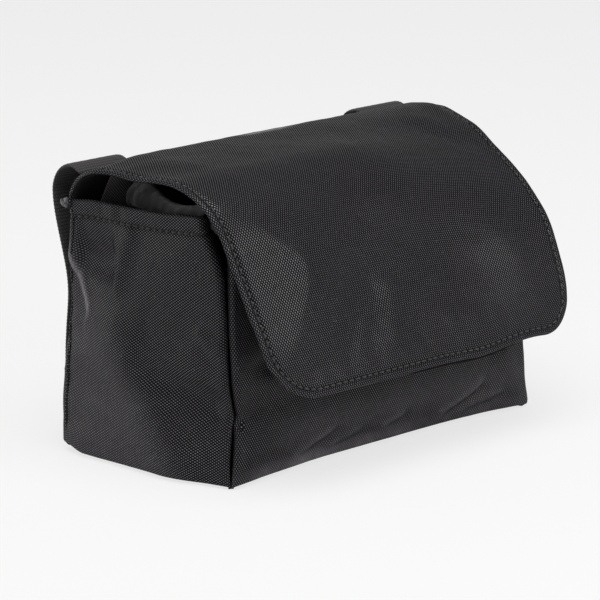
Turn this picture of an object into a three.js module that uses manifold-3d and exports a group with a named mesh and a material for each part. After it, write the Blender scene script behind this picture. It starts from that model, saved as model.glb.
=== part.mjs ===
// Fabric pouch with a flap and three webbing straps with snaps.
// Millimetres. +Z up, the front faces -Y, left is -X as seen from the front.
// The origin is the middle of the underside of the bottom panel.
import * as THREE from "three";
import { mergeVertices } from "three/addons/utils/BufferGeometryUtils.js";
import Module from "manifold-3d";

// Body
const backWidthBottom = 190;
const backWidthTop = 180;
const frontWidth = 163;
const depth = 84;
const bodyHeight = 99;
const frontLean = 7;
const sideCrown = 1.5;
const hemDepth = 8;

// Layers
const shellThickness = 1.0;
const liningThickness = 0.6;
const gap = 0.3;
const liningInset = 1.2;

// Shoulder at the back of the top, and flap
const topRise = 15;
const shoulderRadius = 17;
const seamAngle = 60;
const flapTopRise = 1.5;
const flapReach = 73.5;
const flapBendRadius = 33;
const flapFlare = 24.3;
const flapBottomHeight = 38.3;
const flapBottomWidth = 154;
const flapCornerRadius = 20;

// Hook and loop closure
const closureWidth = 100;
const closureHeight = 25;
const closureThickness = 1.2;
const closureDrop = 22;

// Webbing straps and rows on the back
const webbingWidth = 25;
const strapThickness = 1.4;
const strapSpacing = 76;
const strapRootAngle = 50;
const strapBow = 11;
const strapDrop = 52;
const strapTail = 9;
const rowThickness = 1.2;
const rowPitch = 50;
const lowerRowHeight = 8;

// Snaps
const snapHeight = 20.5;
const capRadius = 6;
const capHeight = 1.6;
const socketRadius = 5;
const socketHeight = 2.0;
const studFlange = 0.8;
const studRadius = 2.8;
const shankRadius = 1.5;
const snapPlay = 0.5;
const washerRadius = 4.5;
const washerThickness = 0.8;

const rad = THREE.MathUtils.degToRad;
const lerp = THREE.MathUtils.lerp;
const v2 = (x, y) => new THREE.Vector2(x, y);
const v3 = (x, y, z) => new THREE.Vector3(x, y, z);
const half = depth / 2;
const topHeight = bodyHeight + topRise;
const flapThickness = shellThickness + gap + liningThickness;
const liningStart = shellThickness + gap;
const hemStart = liningStart + liningThickness + gap;
const holeRadius = shankRadius + gap;

// One line, seen from the side, runs up the back, over the shoulder and down the flap.
const shoulderBase = topHeight - shoulderRadius;
const riseTurn = Math.PI / 2 - rad(flapTopRise);
const bendTurn = Math.PI / 2 - rad(flapFlare) + rad(flapTopRise);
const bendReach = flapBendRadius * Math.tan(bendTurn / 2);
const shoulderCentre = new THREE.Vector2(half - shoulderRadius, shoulderBase);
const shoulderEnd = new THREE.Vector2(Math.cos(riseTurn), Math.sin(riseTurn))
  .multiplyScalar(shoulderRadius)
  .add(shoulderCentre);
const topRun = shoulderEnd.x - (half - flapReach);
const bendCorner = new THREE.Vector2(
  half - flapReach,
  shoulderEnd.y + topRun * Math.tan(rad(flapTopRise)),
);
const bendStart = new THREE.Vector2(
  bendCorner.x + bendReach * Math.cos(rad(flapTopRise)),
  bendCorner.y - bendReach * Math.sin(rad(flapTopRise)),
);
const bendCentre = new THREE.Vector2(
  bendStart.x - flapBendRadius * Math.cos(riseTurn),
  bendStart.y - flapBendRadius * Math.sin(riseTurn),
);
const frontDrop = bendCorner.y - flapBottomHeight;
const spine = new THREE.Path();
spine.moveTo(half, 0);
spine.lineTo(half, shoulderBase);
spine.absarc(shoulderCentre.x, shoulderCentre.y, shoulderRadius, 0, riseTurn, false);
spine.lineTo(bendStart.x, bendStart.y);
spine.absarc(bendCentre.x, bendCentre.y, flapBendRadius, riseTurn, riseTurn + bendTurn, false);
spine.lineTo(bendCorner.x - frontDrop * Math.tan(rad(flapFlare)), flapBottomHeight);
const spineLength = spine.getLength();
const seamAt = shoulderBase + shoulderRadius * rad(seamAngle);
const foldAt =
  shoulderBase +
  shoulderRadius * riseTurn +
  shoulderEnd.distanceTo(bendStart) +
  flapBendRadius * bendTurn;

// The point at a distance along the line and a depth under its outer face: x is +Y, y is +Z.
function onSpine(along, under) {
  const share = THREE.MathUtils.clamp(along / spineLength, 0, 1);
  const point = spine.getPoint(share);
  const tangent = spine.getTangent(share);
  return new THREE.Vector2(point.x - tangent.y * under, point.y + tangent.x * under);
}

// Half the width of the back and the flap at a distance along the line.
function halfWidth(along) {
  if (along <= seamAt) return lerp(backWidthBottom, backWidthTop, along / seamAt) / 2;
  const share = (along - seamAt) / (spineLength - seamAt);
  return lerp(backWidthTop, flapBottomWidth, share) / 2;
}

// The same for the flap, with its rounded lower corners.
function flapHalfWidth(along, inset) {
  const radius = flapCornerRadius - inset;
  const into = along - (spineLength - inset - radius);
  const wide = halfWidth(along) - inset;
  if (into <= 0) return wide;
  return wide - radius + Math.sqrt(Math.max(radius * radius - into * into, 0));
}

// Where the side walls, at a depth under their outer face, meet the front and the back.
function sideCorners(z, under) {
  const front = new THREE.Vector2(frontWidth / 2, -half + (frontLean * z) / bodyHeight);
  const back = new THREE.Vector2(halfWidth(z), half);
  const way = back.clone().sub(front).normalize();
  const frontShift = ((1 - way.x) * under) / way.y;
  const backShift = ((1 + way.x) * under) / way.y;
  return {
    front: new THREE.Vector2(
      front.x - way.y * under + frontShift * way.x,
      front.y + under,
    ),
    back: new THREE.Vector2(back.x - way.y * under - backShift * way.x, back.y - under),
    way,
  };
}

// A closed solid that carries an outline across from t = 0 to t = 1.
function sweep(outline, steps, place) {
  const n = outline.length;
  const positions = [];
  const index = [];
  for (let i = 0; i <= steps; i++) {
    for (const p of outline) positions.push(...place(i / steps, p).toArray());
  }
  for (let i = 0; i < steps; i++) {
    for (let k = 0; k < n; k++) {
      const a = i * n + k;
      const b = i * n + ((k + 1) % n);
      index.push(a, b, b + n, a, b + n, a + n);
    }
  }
  const endFace = outline.map((_, k) => v2(positions[3 * k + 1], positions[3 * k + 2]));
  const turnedRound = THREE.ShapeUtils.isClockWise(endFace);
  for (const face of THREE.ShapeUtils.triangulateShape(endFace, [])) {
    const [a, b, c] = turnedRound ? face.slice().reverse() : face;
    index.push(a, c, b, steps * n + a, steps * n + b, steps * n + c);
  }
  return facingOut(positions, index);
}

function facingOut(positions, index) {
  const corner = (i) => v3().fromArray(positions, 3 * i);
  let volume = 0;
  for (let i = 0; i < index.length; i += 3) {
    const a = corner(index[i]);
    volume += a.dot(corner(index[i + 1]).cross(corner(index[i + 2])));
  }
  if (volume < 0) index.reverse();
  const geometry = new THREE.BufferGeometry();
  geometry.setAttribute("position", new THREE.Float32BufferAttribute(positions, 3));
  geometry.setIndex(index);
  return geometry;
}

// A flat shape, drawn with x as +Y and y as +Z, made solid across the width about the middle.
function across(points, width) {
  const geometry = new THREE.ExtrudeGeometry(new THREE.Shape(points), {
    depth: width,
    bevelEnabled: false,
  });
  geometry.translate(0, 0, -width / 2);
  const [x, y, z] = [v3(1, 0, 0), v3(0, 1, 0), v3(0, 0, 1)];
  return geometry.applyMatrix4(new THREE.Matrix4().makeBasis(y, z, x));
}

const wasm = await Module();
wasm.setup();

function toSolid(geometry) {
  const bare = new THREE.BufferGeometry();
  bare.setAttribute("position", geometry.getAttribute("position"));
  bare.setIndex(geometry.index);
  const merged = mergeVertices(bare, 1e-4);
  return new wasm.Manifold(
    new wasm.Mesh({
      numProp: 3,
      vertProperties: new Float32Array(merged.attributes.position.array),
      triVerts: new Uint32Array(merged.index.array),
    }),
  );
}

// Round holes along Y at the height of the snaps.
function drilled(geometry, centres, fromY, toY) {
  let solid = toSolid(geometry);
  for (const x of centres) {
    const tool = new THREE.CylinderGeometry(holeRadius, holeRadius, toY - fromY, 28);
    tool.translate(x, (fromY + toY) / 2, snapHeight);
    solid = solid.subtract(toSolid(tool));
  }
  const mesh = solid.getMesh();
  const out = new THREE.BufferGeometry();
  out.setAttribute("position", new THREE.Float32BufferAttribute(mesh.vertProperties, 3));
  out.setIndex([...mesh.triVerts]);
  return out;
}

const pouch = new THREE.Group();
const body = new THREE.Group();
const flapTop = new THREE.Group();
const flapFront = new THREE.Group();
pouch.add(body, flapTop);
flapTop.add(flapFront);

const nylon = new THREE.MeshStandardMaterial({ color: 0x232328, roughness: 0.8 });
const cloth = new THREE.MeshStandardMaterial({ color: 0x1a1a1d, roughness: 0.9 });
const webbing = new THREE.MeshStandardMaterial({ color: 0x2b2b30, roughness: 0.85 });
const tape = new THREE.MeshStandardMaterial({ color: 0x151517, roughness: 1.0 });
const metal = new THREE.MeshStandardMaterial({
  color: 0x2c2c2e,
  roughness: 0.4,
  metalness: 0.8,
});

function add(group, name, geometry, material) {
  const mesh = new THREE.Mesh(geometry, material);
  mesh.name = name;
  group.add(mesh);
  return mesh;
}

// Values from a to b in equal steps, both ends included.
function spread(a, b, steps) {
  return Array.from({ length: steps + 1 }, (_, i) => lerp(a, b, i / steps));
}

// The outline of a layer: one edge list along its outer face, one back along its inner face.
function layer(outerList, outerDepth, innerList, innerDepth) {
  return [
    ...outerList.map((along) => v2(along, outerDepth)),
    ...innerList
      .slice()
      .reverse()
      .map((along) => v2(along, innerDepth)),
  ];
}

// Walls. In their outlines x is the height and y the depth under the outer face.
const seamGap = gap * Math.SQRT2;
const wallSteps = 8;
const wallOutline = [
  ...spread(seamGap, bodyHeight, wallSteps).map((z) => v2(z, 0)),
  v2(bodyHeight, hemStart + shellThickness),
  v2(bodyHeight - hemDepth, hemStart + shellThickness),
  v2(bodyHeight - hemDepth, hemStart),
  v2(bodyHeight - shellThickness, hemStart),
  ...spread(bodyHeight - shellThickness, shellThickness + seamGap, wallSteps).map((z) =>
    v2(z, shellThickness),
  ),
];
const liningEnd = liningStart + liningThickness;
const liningTop = bodyHeight - shellThickness - gap;
const liningOutline = layer(
  spread(liningStart + seamGap, liningTop, wallSteps),
  liningStart,
  spread(liningEnd + seamGap, liningTop, wallSteps),
  liningEnd,
);

function frontPlace(t, p) {
  const corner = sideCorners(p.x, p.y).front;
  return v3((2 * t - 1) * (corner.x - gap), corner.y, p.x);
}

function sidePlace(sign) {
  return (t, p) => {
    const { front, back, way } = sideCorners(p.x, p.y);
    const from = front.clone().addScaledVector(way, gap);
    const to = back.clone().addScaledVector(way, -gap);
    const at = from.lerp(to, t);
    const high = (2 * p.x) / bodyHeight - 1;
    const bulge = sideCrown * (1 - (2 * t - 1) ** 2) * (1 - high * high);
    at.add(v2(way.y, -way.x).multiplyScalar(bulge));
    return v3(sign * at.x, at.y, p.x);
  };
}

add(body, "front_panel", sweep(wallOutline, 4, frontPlace), nylon);
add(body, "left_side_panel", sweep(wallOutline, 8, sidePlace(-1)), nylon);
add(body, "right_side_panel", sweep(wallOutline, 8, sidePlace(1)), nylon);
add(body, "front_lining", sweep(liningOutline, 4, frontPlace), cloth);
add(body, "left_side_lining", sweep(liningOutline, 8, sidePlace(-1)), cloth);
add(body, "right_side_lining", sweep(liningOutline, 8, sidePlace(1)), cloth);

// Bottom. In its outline x is +Y and y is the height above the underside.
function bottomPlace(t, p) {
  const { front, way } = sideCorners(p.y, p.y);
  const wide = front.x + (p.x - front.y) * (way.x / way.y);
  return v3((2 * t - 1) * (wide - gap), p.x, p.y);
}

function bottomOutline(from, to) {
  const low = sideCorners(from, from);
  const high = sideCorners(to, to);
  return [
    v2(low.front.y + gap, from),
    v2(low.back.y - gap, from),
    v2(high.back.y - gap, to),
    v2(high.front.y + gap, to),
  ];
}

add(body, "bottom_panel", sweep(bottomOutline(0, shellThickness), 2, bottomPlace), nylon);
add(body, "bottom_lining", sweep(bottomOutline(liningStart, liningEnd), 2, bottomPlace), cloth);

// Back. In the outlines of the back and the flap x runs along the line.
const snapCentres = [-strapSpacing, 0, strapSpacing];

function backPlace(t, p) {
  const at = onSpine(p.x, p.y);
  const wide = sideCorners(Math.min(at.y, topHeight), p.y).back.x - gap;
  return v3((2 * t - 1) * wide, at.x, at.y);
}

function backList(from) {
  const arc = spread(shoulderBase, seamAt - gap / 2, 8);
  return [from, ...arc];
}

const backPanel = sweep(
  layer(backList(seamGap), 0, backList(shellThickness + seamGap), shellThickness),
  2,
  backPlace,
);
const backLining = sweep(
  layer(
    backList(liningStart + seamGap),
    liningStart,
    backList(liningEnd + seamGap),
    liningEnd,
  ),
  2,
  backPlace,
);
add(body, "back_panel", drilled(backPanel, snapCentres, half - 5, half + 5), nylon);
add(body, "back_lining", drilled(backLining, snapCentres, half - 5, half + 5), cloth);

// Flap, cut in two at the fold. The front piece has a nose that can turn at the fold.
function flapPlace(inset) {
  return (t, p) => {
    const at = onSpine(p.x, p.y);
    return v3((2 * t - 1) * flapHalfWidth(p.x, inset), at.x, at.y);
  };
}

const bendAt = foldAt - flapBendRadius * bendTurn;
const flapTopList = [
  ...spread(seamAt + gap / 2, shoulderBase + shoulderRadius * riseTurn, 4),
  ...spread(bendAt, foldAt - gap, 12),
];

function noseAt(under) {
  return foldAt + Math.abs(under - flapThickness / 2);
}

function flapFrontList(under, inset) {
  const radius = flapCornerRadius - inset;
  const end = spineLength - inset;
  const corner = spread(0, Math.PI / 2, 8).map((a) => end - radius + radius * Math.sin(a));
  return [noseAt(under), ...corner];
}

add(
  flapTop,
  "flap_top_shell",
  sweep(layer(flapTopList, 0, flapTopList, shellThickness), 2, flapPlace(0)),
  nylon,
);
add(
  flapTop,
  "flap_top_lining",
  sweep(
    layer(flapTopList, liningStart, flapTopList, flapThickness),
    2,
    flapPlace(liningInset),
  ),
  cloth,
);
add(
  flapFront,
  "flap_front_shell",
  sweep(
    layer(flapFrontList(0, 0), 0, flapFrontList(shellThickness, 0), shellThickness),
    2,
    flapPlace(0),
  ),
  nylon,
);
add(
  flapFront,
  "flap_front_lining",
  sweep(
    layer(
      flapFrontList(liningStart, liningInset),
      liningStart,
      flapFrontList(flapThickness, liningInset),
      flapThickness,
    ),
    2,
    flapPlace(liningInset),
  ),
  cloth,
);

// Hook strip under the flap and loop strip on the front, which meet when the flap is pressed shut.
const hookFrom = noseAt(0) + closureDrop;
const hookList = [hookFrom, hookFrom + closureHeight];
const hookDepth = flapThickness + gap;
add(
  flapFront,
  "hook_strip",
  sweep(layer(hookList, hookDepth, hookList, hookDepth + closureThickness), 2, (t, p) => {
    const at = onSpine(p.x, p.y);
    return v3(((2 * t - 1) * closureWidth) / 2, at.x, at.y);
  }),
  tape,
);
const loopTop = onSpine(noseAt(0), 0).y - closureDrop;
const loopList = [loopTop - closureHeight, loopTop];
add(
  body,
  "loop_strip",
  sweep(layer(loopList, -gap - closureThickness, loopList, -gap), 2, (t, p) => {
    const corner = sideCorners(p.x, p.y).front;
    return v3(((2 * t - 1) * closureWidth) / 2, corner.y, p.x);
  }),
  tape,
);

// Webbing rows sewn flat across the back.
function addRow(name, from) {
  const list = [from, from + webbingWidth];
  const row = sweep(
    layer(list, half + gap, list, half + gap + rowThickness),
    2,
    (t, p) => v3((2 * t - 1) * (halfWidth(p.x) - liningInset), p.y, p.x),
  );
  const holdsSnaps = snapHeight > from && snapHeight < from + webbingWidth;
  const geometry = holdsSnaps ? drilled(row, snapCentres, half, half + 5) : row;
  add(body, name, geometry, webbing);
}

addRow("lower_webbing_row", lowerRowHeight);
addRow("upper_webbing_row", lowerRowHeight + rowPitch);

// Straps: root on the shoulder, a bow behind the top, then straight down to the snap.
const studFrom = half + gap + rowThickness + gap;
const socketFrom = studFrom + studFlange + gap;
const socketTo = socketFrom + socketHeight;
const strapInner = socketTo + gap;
const strapOuter = strapInner + strapThickness;
const strapY = strapInner + strapThickness / 2;
const strapRoot = v2(Math.cos(rad(strapRootAngle)), Math.sin(rad(strapRootAngle)))
  .multiplyScalar(shoulderRadius + gap)
  .add(shoulderCentre);
const strapLand = topHeight - strapDrop;
const strapLine = new THREE.SplineCurve([
  strapRoot,
  v2(half + 0.05 * strapBow, topHeight - 0.025 * strapDrop),
  v2(half + 0.63 * strapBow, topHeight - 0.065 * strapDrop),
  v2(half + 0.95 * strapBow, topHeight - 0.17 * strapDrop),
  v2(half + strapBow, topHeight - 0.31 * strapDrop),
  v2(lerp(half + strapBow, strapY, 0.6), topHeight - 0.65 * strapDrop),
  v2(strapY, strapLand),
  v2(strapY, lerp(strapLand, snapHeight, 0.6)),
  v2(strapY, snapHeight - strapTail),
]);

// The strap's edge outline. Its root comes to a point, so that it can swing on the shoulder.
function strapOutline() {
  const steps = 36;
  const r = strapThickness / 2;
  const outer = [];
  const inner = [];
  for (const share of spread(r / strapLine.getLength(), 1, steps)) {
    const at = strapLine.getPointAt(share);
    const way = strapLine.getTangentAt(share);
    outer.push(v2(at.x - way.y * r, at.y + way.x * r));
    inner.push(v2(at.x + way.y * r, at.y - way.x * r));
  }
  return [strapRoot, ...outer, ...inner.reverse()];
}

// Snap profiles, turned about the Y direction: x is the radius and y is +Y.
const capFrom = strapOuter + gap;
const capRim = 0.5;
const dome = spread(0, Math.PI / 2, 5).map((a, k) =>
  v2(k === 5 ? 0 : capRadius * Math.cos(a), capFrom + lerp(capRim, capHeight, Math.sin(a))),
);
const capProfile = [
  v2(0, strapInner - 0.1),
  v2(shankRadius, strapInner - 0.1),
  v2(shankRadius, capFrom),
  v2(capRadius, capFrom),
  ...dome,
];
const snapChamfer = 0.4;
const socketBore = studRadius + snapPlay;
const socketProfile = [
  v2(socketBore, socketFrom),
  v2(socketRadius - snapChamfer, socketFrom),
  v2(socketRadius, socketFrom + snapChamfer),
  v2(socketRadius, socketTo),
  v2(socketBore, socketTo),
  v2(socketBore, socketFrom),
];
const studTo = socketTo - 0.1;
const studBoreTo = studTo - studFlange;
const studProfile = [
  v2(0, studBoreTo),
  v2(holeRadius, studBoreTo),
  v2(holeRadius, studFrom),
  v2(socketRadius, studFrom),
  v2(socketRadius, studFrom + studFlange),
  v2(studRadius, studFrom + studFlange),
  v2(studRadius, studTo - snapChamfer),
  v2(studRadius - snapChamfer, studTo),
  v2(0, studTo),
];
const washerTo = half - liningEnd - gap;
const postProfile = [
  v2(0, washerTo - washerThickness),
  v2(washerRadius, washerTo - washerThickness),
  v2(washerRadius, washerTo),
  v2(shankRadius, washerTo),
  v2(shankRadius, studBoreTo - gap),
  v2(0, studBoreTo - gap),
];

// Each strap with its cap and socket is a group of its own; stud and post stay on the back.
const strapGeometry = drilled(across(strapOutline(), webbingWidth), [0], half + 1, strapOuter + 2);
["left", "middle", "right"].forEach((side, i) => {
  const x = snapCentres[i];
  const strap = new THREE.Group();
  strap.position.x = x;
  pouch.add(strap);
  add(strap, `strap_${side}`, strapGeometry, webbing);
  const cap = new THREE.LatheGeometry(capProfile, 28);
  add(strap, `snap_cap_${side}`, cap, metal).position.z = snapHeight;
  const socket = new THREE.LatheGeometry(socketProfile, 28);
  add(strap, `snap_socket_${side}`, socket, metal).position.z = snapHeight;
  const stud = new THREE.LatheGeometry(studProfile, 28);
  add(body, `snap_stud_${side}`, stud, metal).position.set(x, 0, snapHeight);
  const post = new THREE.LatheGeometry(postProfile, 28);
  add(body, `snap_post_${side}`, post, metal).position.set(x, 0, snapHeight);
});

export default pouch;
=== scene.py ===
import math

import bmesh
import bpy
import numpy as np
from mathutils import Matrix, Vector


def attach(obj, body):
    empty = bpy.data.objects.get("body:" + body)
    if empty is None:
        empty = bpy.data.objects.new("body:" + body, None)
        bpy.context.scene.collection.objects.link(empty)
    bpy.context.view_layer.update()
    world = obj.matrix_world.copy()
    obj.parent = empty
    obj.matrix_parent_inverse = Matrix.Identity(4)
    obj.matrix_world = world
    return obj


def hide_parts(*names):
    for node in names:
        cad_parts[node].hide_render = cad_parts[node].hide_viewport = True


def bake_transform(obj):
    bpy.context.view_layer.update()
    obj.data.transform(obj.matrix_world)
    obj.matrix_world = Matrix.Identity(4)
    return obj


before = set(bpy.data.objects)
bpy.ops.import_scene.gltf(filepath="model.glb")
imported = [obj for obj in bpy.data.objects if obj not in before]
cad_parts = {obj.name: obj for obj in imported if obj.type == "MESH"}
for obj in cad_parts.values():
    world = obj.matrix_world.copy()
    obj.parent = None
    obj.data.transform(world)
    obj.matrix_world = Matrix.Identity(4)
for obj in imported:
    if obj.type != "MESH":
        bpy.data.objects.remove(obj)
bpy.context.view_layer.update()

# Every size below is in millimetres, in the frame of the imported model. Meshes are made in metres.
MM = 0.001

# The line that the back and the flap follow, seen from the side.
HALF_DEPTH = 42.0
SHOULDER_BASE = 97.0
SHOULDER_RADIUS = 17.0
TOP_RISE = math.radians(1.5)
FLAP_REACH = 73.5
BEND_RADIUS = 33.0
FLAP_FLARE = math.radians(24.3)
FLAP_END = 259.6
SEAM_AT = 114.8
STRIP_FROM = 103.0
STRIP_TO = 123.4
FLAP_CORNER = 20.0
RIGHT_CORNER = 13.0
FLAP_HALF_WIDTH = 77.0
BACK_HALF_WIDTH = 95.0
SEAM_HALF_WIDTH = 90.0

# Cloth
SHELL = 1.0
LINING = 0.6
LINING_UNDER = SHELL + 0.28
STITCH_INSET = 2.4
STITCH_PITCH = 3.2
STITCH_UNDER = 0.22
HEM_STITCH_OUT = 0.16
HEM = 5.8
WALL_TOP = 100.0
FRONT_TOP = 99.0
FRONT_LEAN = 7.0
SIDE_WIDTH = 84.5
FRONT_WIDTH = 160.0
FLOOR_GAP = 0.15
FLOOR_ROLL = 1.7

# Where a net has its rows of points next to an edge and next to the join of two cloths.
EDGE_ROWS = (0, 0.5, 1.1, 1.8)
JOIN_ROW = 0.15

# Webbing, tapes and snaps
WEBBING = 25.0
RIB = 1.4
STRAP_THICK = 1.4
STRAP_SPACING = 76.0
STRAP_TACK_HALF = 10.5
STRAP_TACK_GAP = 4.0
STRAP_TACK_OUT = 0.68
ROW_THICK = 1.2
ROW_OUT = 0.9
ROW_SHORT = 1.2
ROW_TACK_OUT = 1.44
ROW_TACK_IN = 2.2
ROW_TACK_HALF = 0.9
LOWER_ROW = 8.0
UPPER_ROW = 58.0
TAPE_WIDTH = 100.0
TAPE_HEIGHT = 25.0
TAPE_THICK = 0.75
TAPE_INSET = 1.9
TAPE_NUBS = 0.5
HOOK_OFF_LINING = 0.05
LOOP_OFF_FRONT = 0.8
HOOK_BELOW_FOLD = 23.0
LOOP_FOOT = 47.4
SNAP_HEIGHT = 20.5

BACKWARDS = np.array([0.0, 1.0, 0.0])
FORWARDS = np.array([0.0, -1.0, 0.0])
UPWARDS = np.array([0.0, 0.0, 1.0])


# Number helpers


def smooth(a, b, x):
    """A soft step from 0 at a to 1 at b."""
    t = np.clip((np.asarray(x, float) - a) / (b - a), 0, 1)
    return t * t * (3 - 2 * t)


def bell(x, middle, width):
    """A round bump of height 1 about the middle."""
    return np.exp(-(((x - middle) / width) ** 2))


def unit(v):
    """Directions brought to length 1."""
    return v / np.maximum(np.linalg.norm(v, axis=-1, keepdims=True), 1e-12)


def run_along(line):
    """The distance along a line of points at each of them."""
    return np.concatenate([[0], np.cumsum(np.linalg.norm(np.diff(line, axis=0), axis=1))])


def line_at(line, run, at):
    """Places on a line of points at distances along it."""
    return np.stack([np.interp(at, run, column) for column in np.transpose(line)], 1)


def eased(knots, values, soft):
    """A smooth curve through a short list: knots against values, rounded over about soft mm."""
    t = np.linspace(knots[0], knots[-1], 1201)
    step = t[1] - t[0]
    reach = max(1, int(3 * soft / step))
    kernel = np.exp(-0.5 * (np.arange(-reach, reach + 1) * step / soft) ** 2)
    kernel /= kernel.sum()
    line = np.interp(t, knots, values)
    padded = np.pad(line, reach, mode="reflect", reflect_type="odd")
    line = np.convolve(padded, kernel, mode="valid")
    return lambda q: np.interp(q, t, line)


def waves(points, size, seed):
    """Soft random swells from -1 to 1, about size mm across, at points given in mm."""
    cells, shift = 64, 200.0
    table = np.random.RandomState(seed).uniform(-1, 1, (cells, cells))
    q = np.asarray(points, float) / size + shift
    i = np.floor(q).astype(int)
    f = q - i
    f = f * f * f * (f * (f * 6 - 15) + 10)
    x, y = i[..., 0] % cells, i[..., 1] % cells
    x1, y1 = (x + 1) % cells, (y + 1) % cells
    top = table[x, y] * (1 - f[..., 0]) + table[x1, y] * f[..., 0]
    low = table[x, y1] * (1 - f[..., 0]) + table[x1, y1] * f[..., 0]
    return top * (1 - f[..., 1]) + low * f[..., 1]


def swells(points, size, seed):
    """Soft random swells from 0 to 1."""
    return 0.5 + 0.5 * waves(points, size, seed)


def near(points, line):
    """Distance from each point to a line of points, and the share of the line where it is nearest."""
    line = np.array(line, float)
    steps = np.linalg.norm(np.diff(line, axis=0), axis=1)
    total = steps.sum()
    best = np.full(len(points), 1e9)
    share = np.zeros(len(points))
    done = 0.0
    for a, b, step in zip(line[:-1], line[1:], steps):
        way = b - a
        t = np.clip(((points - a) @ way) / (step * step), 0, 1)
        gap = np.linalg.norm(points - a - t[:, None] * way, axis=1)
        closer = gap < best
        best[closer] = gap[closer]
        share[closer] = (done + t[closer] * step) / total
        done += step
    return best, share


def crease(points, line, width, height, fade=0.2):
    """A ridge or, with a negative height, a valley that follows a line and dies out at its ends."""
    gap, share = near(points, line)
    ends = smooth(0, fade, share) * smooth(0, fade, 1 - share)
    return height * bell(gap, 0, width) * ends


def creases(points, folds):
    """The sum of several creases, each given as a line, a width and a height."""
    total = np.zeros(len(points))
    for line, width, height in folds:
        total += crease(points, line, width, height)
    return total


def edge_roll(distance, radius):
    """How far a cloth's face falls away as it turns in to a seam at distance 0."""
    d = np.clip(distance, 0, radius)
    return radius - np.sqrt(np.maximum(radius**2 - (radius - d) ** 2, 0))


def stitch_pull(along):
    """1 where a stitch dives into the cloth and 0 over its middle."""
    return 0.5 + 0.5 * np.cos(2 * math.pi * along / STITCH_PITCH)


# Mesh helpers


def net_faces(ids):
    """The four-sided faces of a net of point numbers."""
    corners = (ids[:-1, :-1], ids[:-1, 1:], ids[1:, 1:], ids[1:, :-1])
    return np.stack([corner.ravel() for corner in corners], 1)


def flat_net(across, up):
    """Every pairing of two rows of numbers, and the faces of the net that they span."""
    c, r = np.meshgrid(across, up)
    return c.ravel(), r.ravel(), net_faces(np.arange(c.size).reshape(c.shape))


def diagonals(values, faces):
    """The two diagonals of each face, of its points or of its cloth."""
    return values[faces[:, 2]] - values[faces[:, 0]], values[faces[:, 3]] - values[faces[:, 1]]


def vertex_normals(points, faces):
    n = np.cross(*diagonals(points, faces))
    total = np.zeros_like(points)
    for k in range(4):
        np.add.at(total, faces[:, k], n)
    return unit(total)


def make_object(name, points, faces, finish, cloth, wear_and_light=None):
    """A piece with its weave laid out in the layer cloth, and in the attribute rub its scuffing together with
    painted highlights and painted shade.
    """
    mesh = bpy.data.meshes.new(name)
    mesh.from_pydata((np.asarray(points) * MM).tolist(), [], [list(map(int, f)) for f in faces])
    mesh.polygons.foreach_set("use_smooth", np.ones(len(mesh.polygons), bool))
    loops = np.zeros(len(mesh.loops), np.int32)
    mesh.loops.foreach_get("vertex_index", loops)
    layer = mesh.uv_layers.new(name="cloth")
    layer.data.foreach_set("uv", (np.asarray(cloth)[loops] * MM).astype(np.float32).ravel())
    rub_and_light = mesh.attributes.new("rub_and_light", "FLOAT", "POINT")
    values = np.zeros(len(points)) if wear_and_light is None else np.asarray(wear_and_light)
    rub_and_light.data.foreach_set("value", values.astype(np.float32))
    mesh.materials.append(finish)
    piece = bpy.data.objects.new(name, mesh)
    bpy.context.scene.collection.objects.link(piece)
    return piece


def thick_sheet(name, faces, outer, thickness, cloth, finish, out, wear_and_light=None, rim_steps=3, bulge=1.0):
    """A closed sheet of cloth: its outer face, its inner face and a rounded edge between them."""
    normals = vertex_normals(outer, faces)
    if (normals * out).sum() < 0:
        faces = faces[:, ::-1]
        normals = -normals
    n = len(outer)
    inner = outer - normals * np.broadcast_to(thickness, (n,))[:, None]
    edges = np.concatenate([faces[:, [k, (k + 1) % 4]] for k in range(4)])
    forward = edges[:, 0] * n + edges[:, 1]
    backward = edges[:, 1] * n + edges[:, 0]
    rim = edges[~np.isin(forward, backward)]
    ids = np.unique(rim)
    place = np.full(n, -1)
    place[ids] = np.arange(len(ids))
    way = unit(outer[rim[:, 1]] - outer[rim[:, 0]])
    # The weave runs on round the edge.
    spread = np.cross(*diagonals(cloth, faces)).sum()
    turned_way = (cloth[rim[:, 1]] - cloth[rim[:, 0]])[:, ::-1] * [1, -1] * np.sign(spread)
    aside = np.zeros_like(outer)
    over = np.zeros((n, 2))
    for k in range(2):
        np.add.at(aside, rim[:, k], np.cross(way, normals[rim[:, k]]))
        np.add.at(over, rim[:, k], turned_way)
    aside, over = unit(aside[ids]), unit(over[ids])
    middle = (outer[ids] + inner[ids]) / 2
    arm = outer[ids] - middle
    size = np.linalg.norm(arm, axis=1, keepdims=True)
    points, cloths, rings = [outer, inner], [cloth, cloth], [ids]
    start = 2 * n
    for k in range(1, rim_steps + 1):
        turn = math.pi * k / (rim_steps + 1)
        points.append(middle + arm * math.cos(turn) + aside * size * bulge * math.sin(turn))
        cloths.append(cloth[ids] + over * size * turn)
        rings.append(start + np.arange(len(ids)))
        start += len(ids)
    rings.append(ids + n)
    a, b = place[rim[:, 0]], place[rim[:, 1]]
    strips = [np.stack([u[b], u[a], v[a], v[b]], 1) for u, v in zip(rings[:-1], rings[1:])]
    all_faces = np.concatenate([faces, faces[:, ::-1] + n, *strips])
    rub_and_light = np.zeros(n) if wear_and_light is None else wear_and_light
    all_rub_and_light = np.concatenate([rub_and_light, rub_and_light] + [rub_and_light[ids]] * rim_steps)
    return make_object(name, np.concatenate(points), all_faces, finish, np.concatenate(cloths), all_rub_and_light)


def ring_faces(rings, sides):
    """Faces between rings of points that follow one another, with both ends left open."""
    faces = []
    for k in range(rings - 1):
        for m in range(sides):
            a, b = k * sides + m, k * sides + (m + 1) % sides
            faces.append([a, b, b + sides, a + sides])
    return faces


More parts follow.
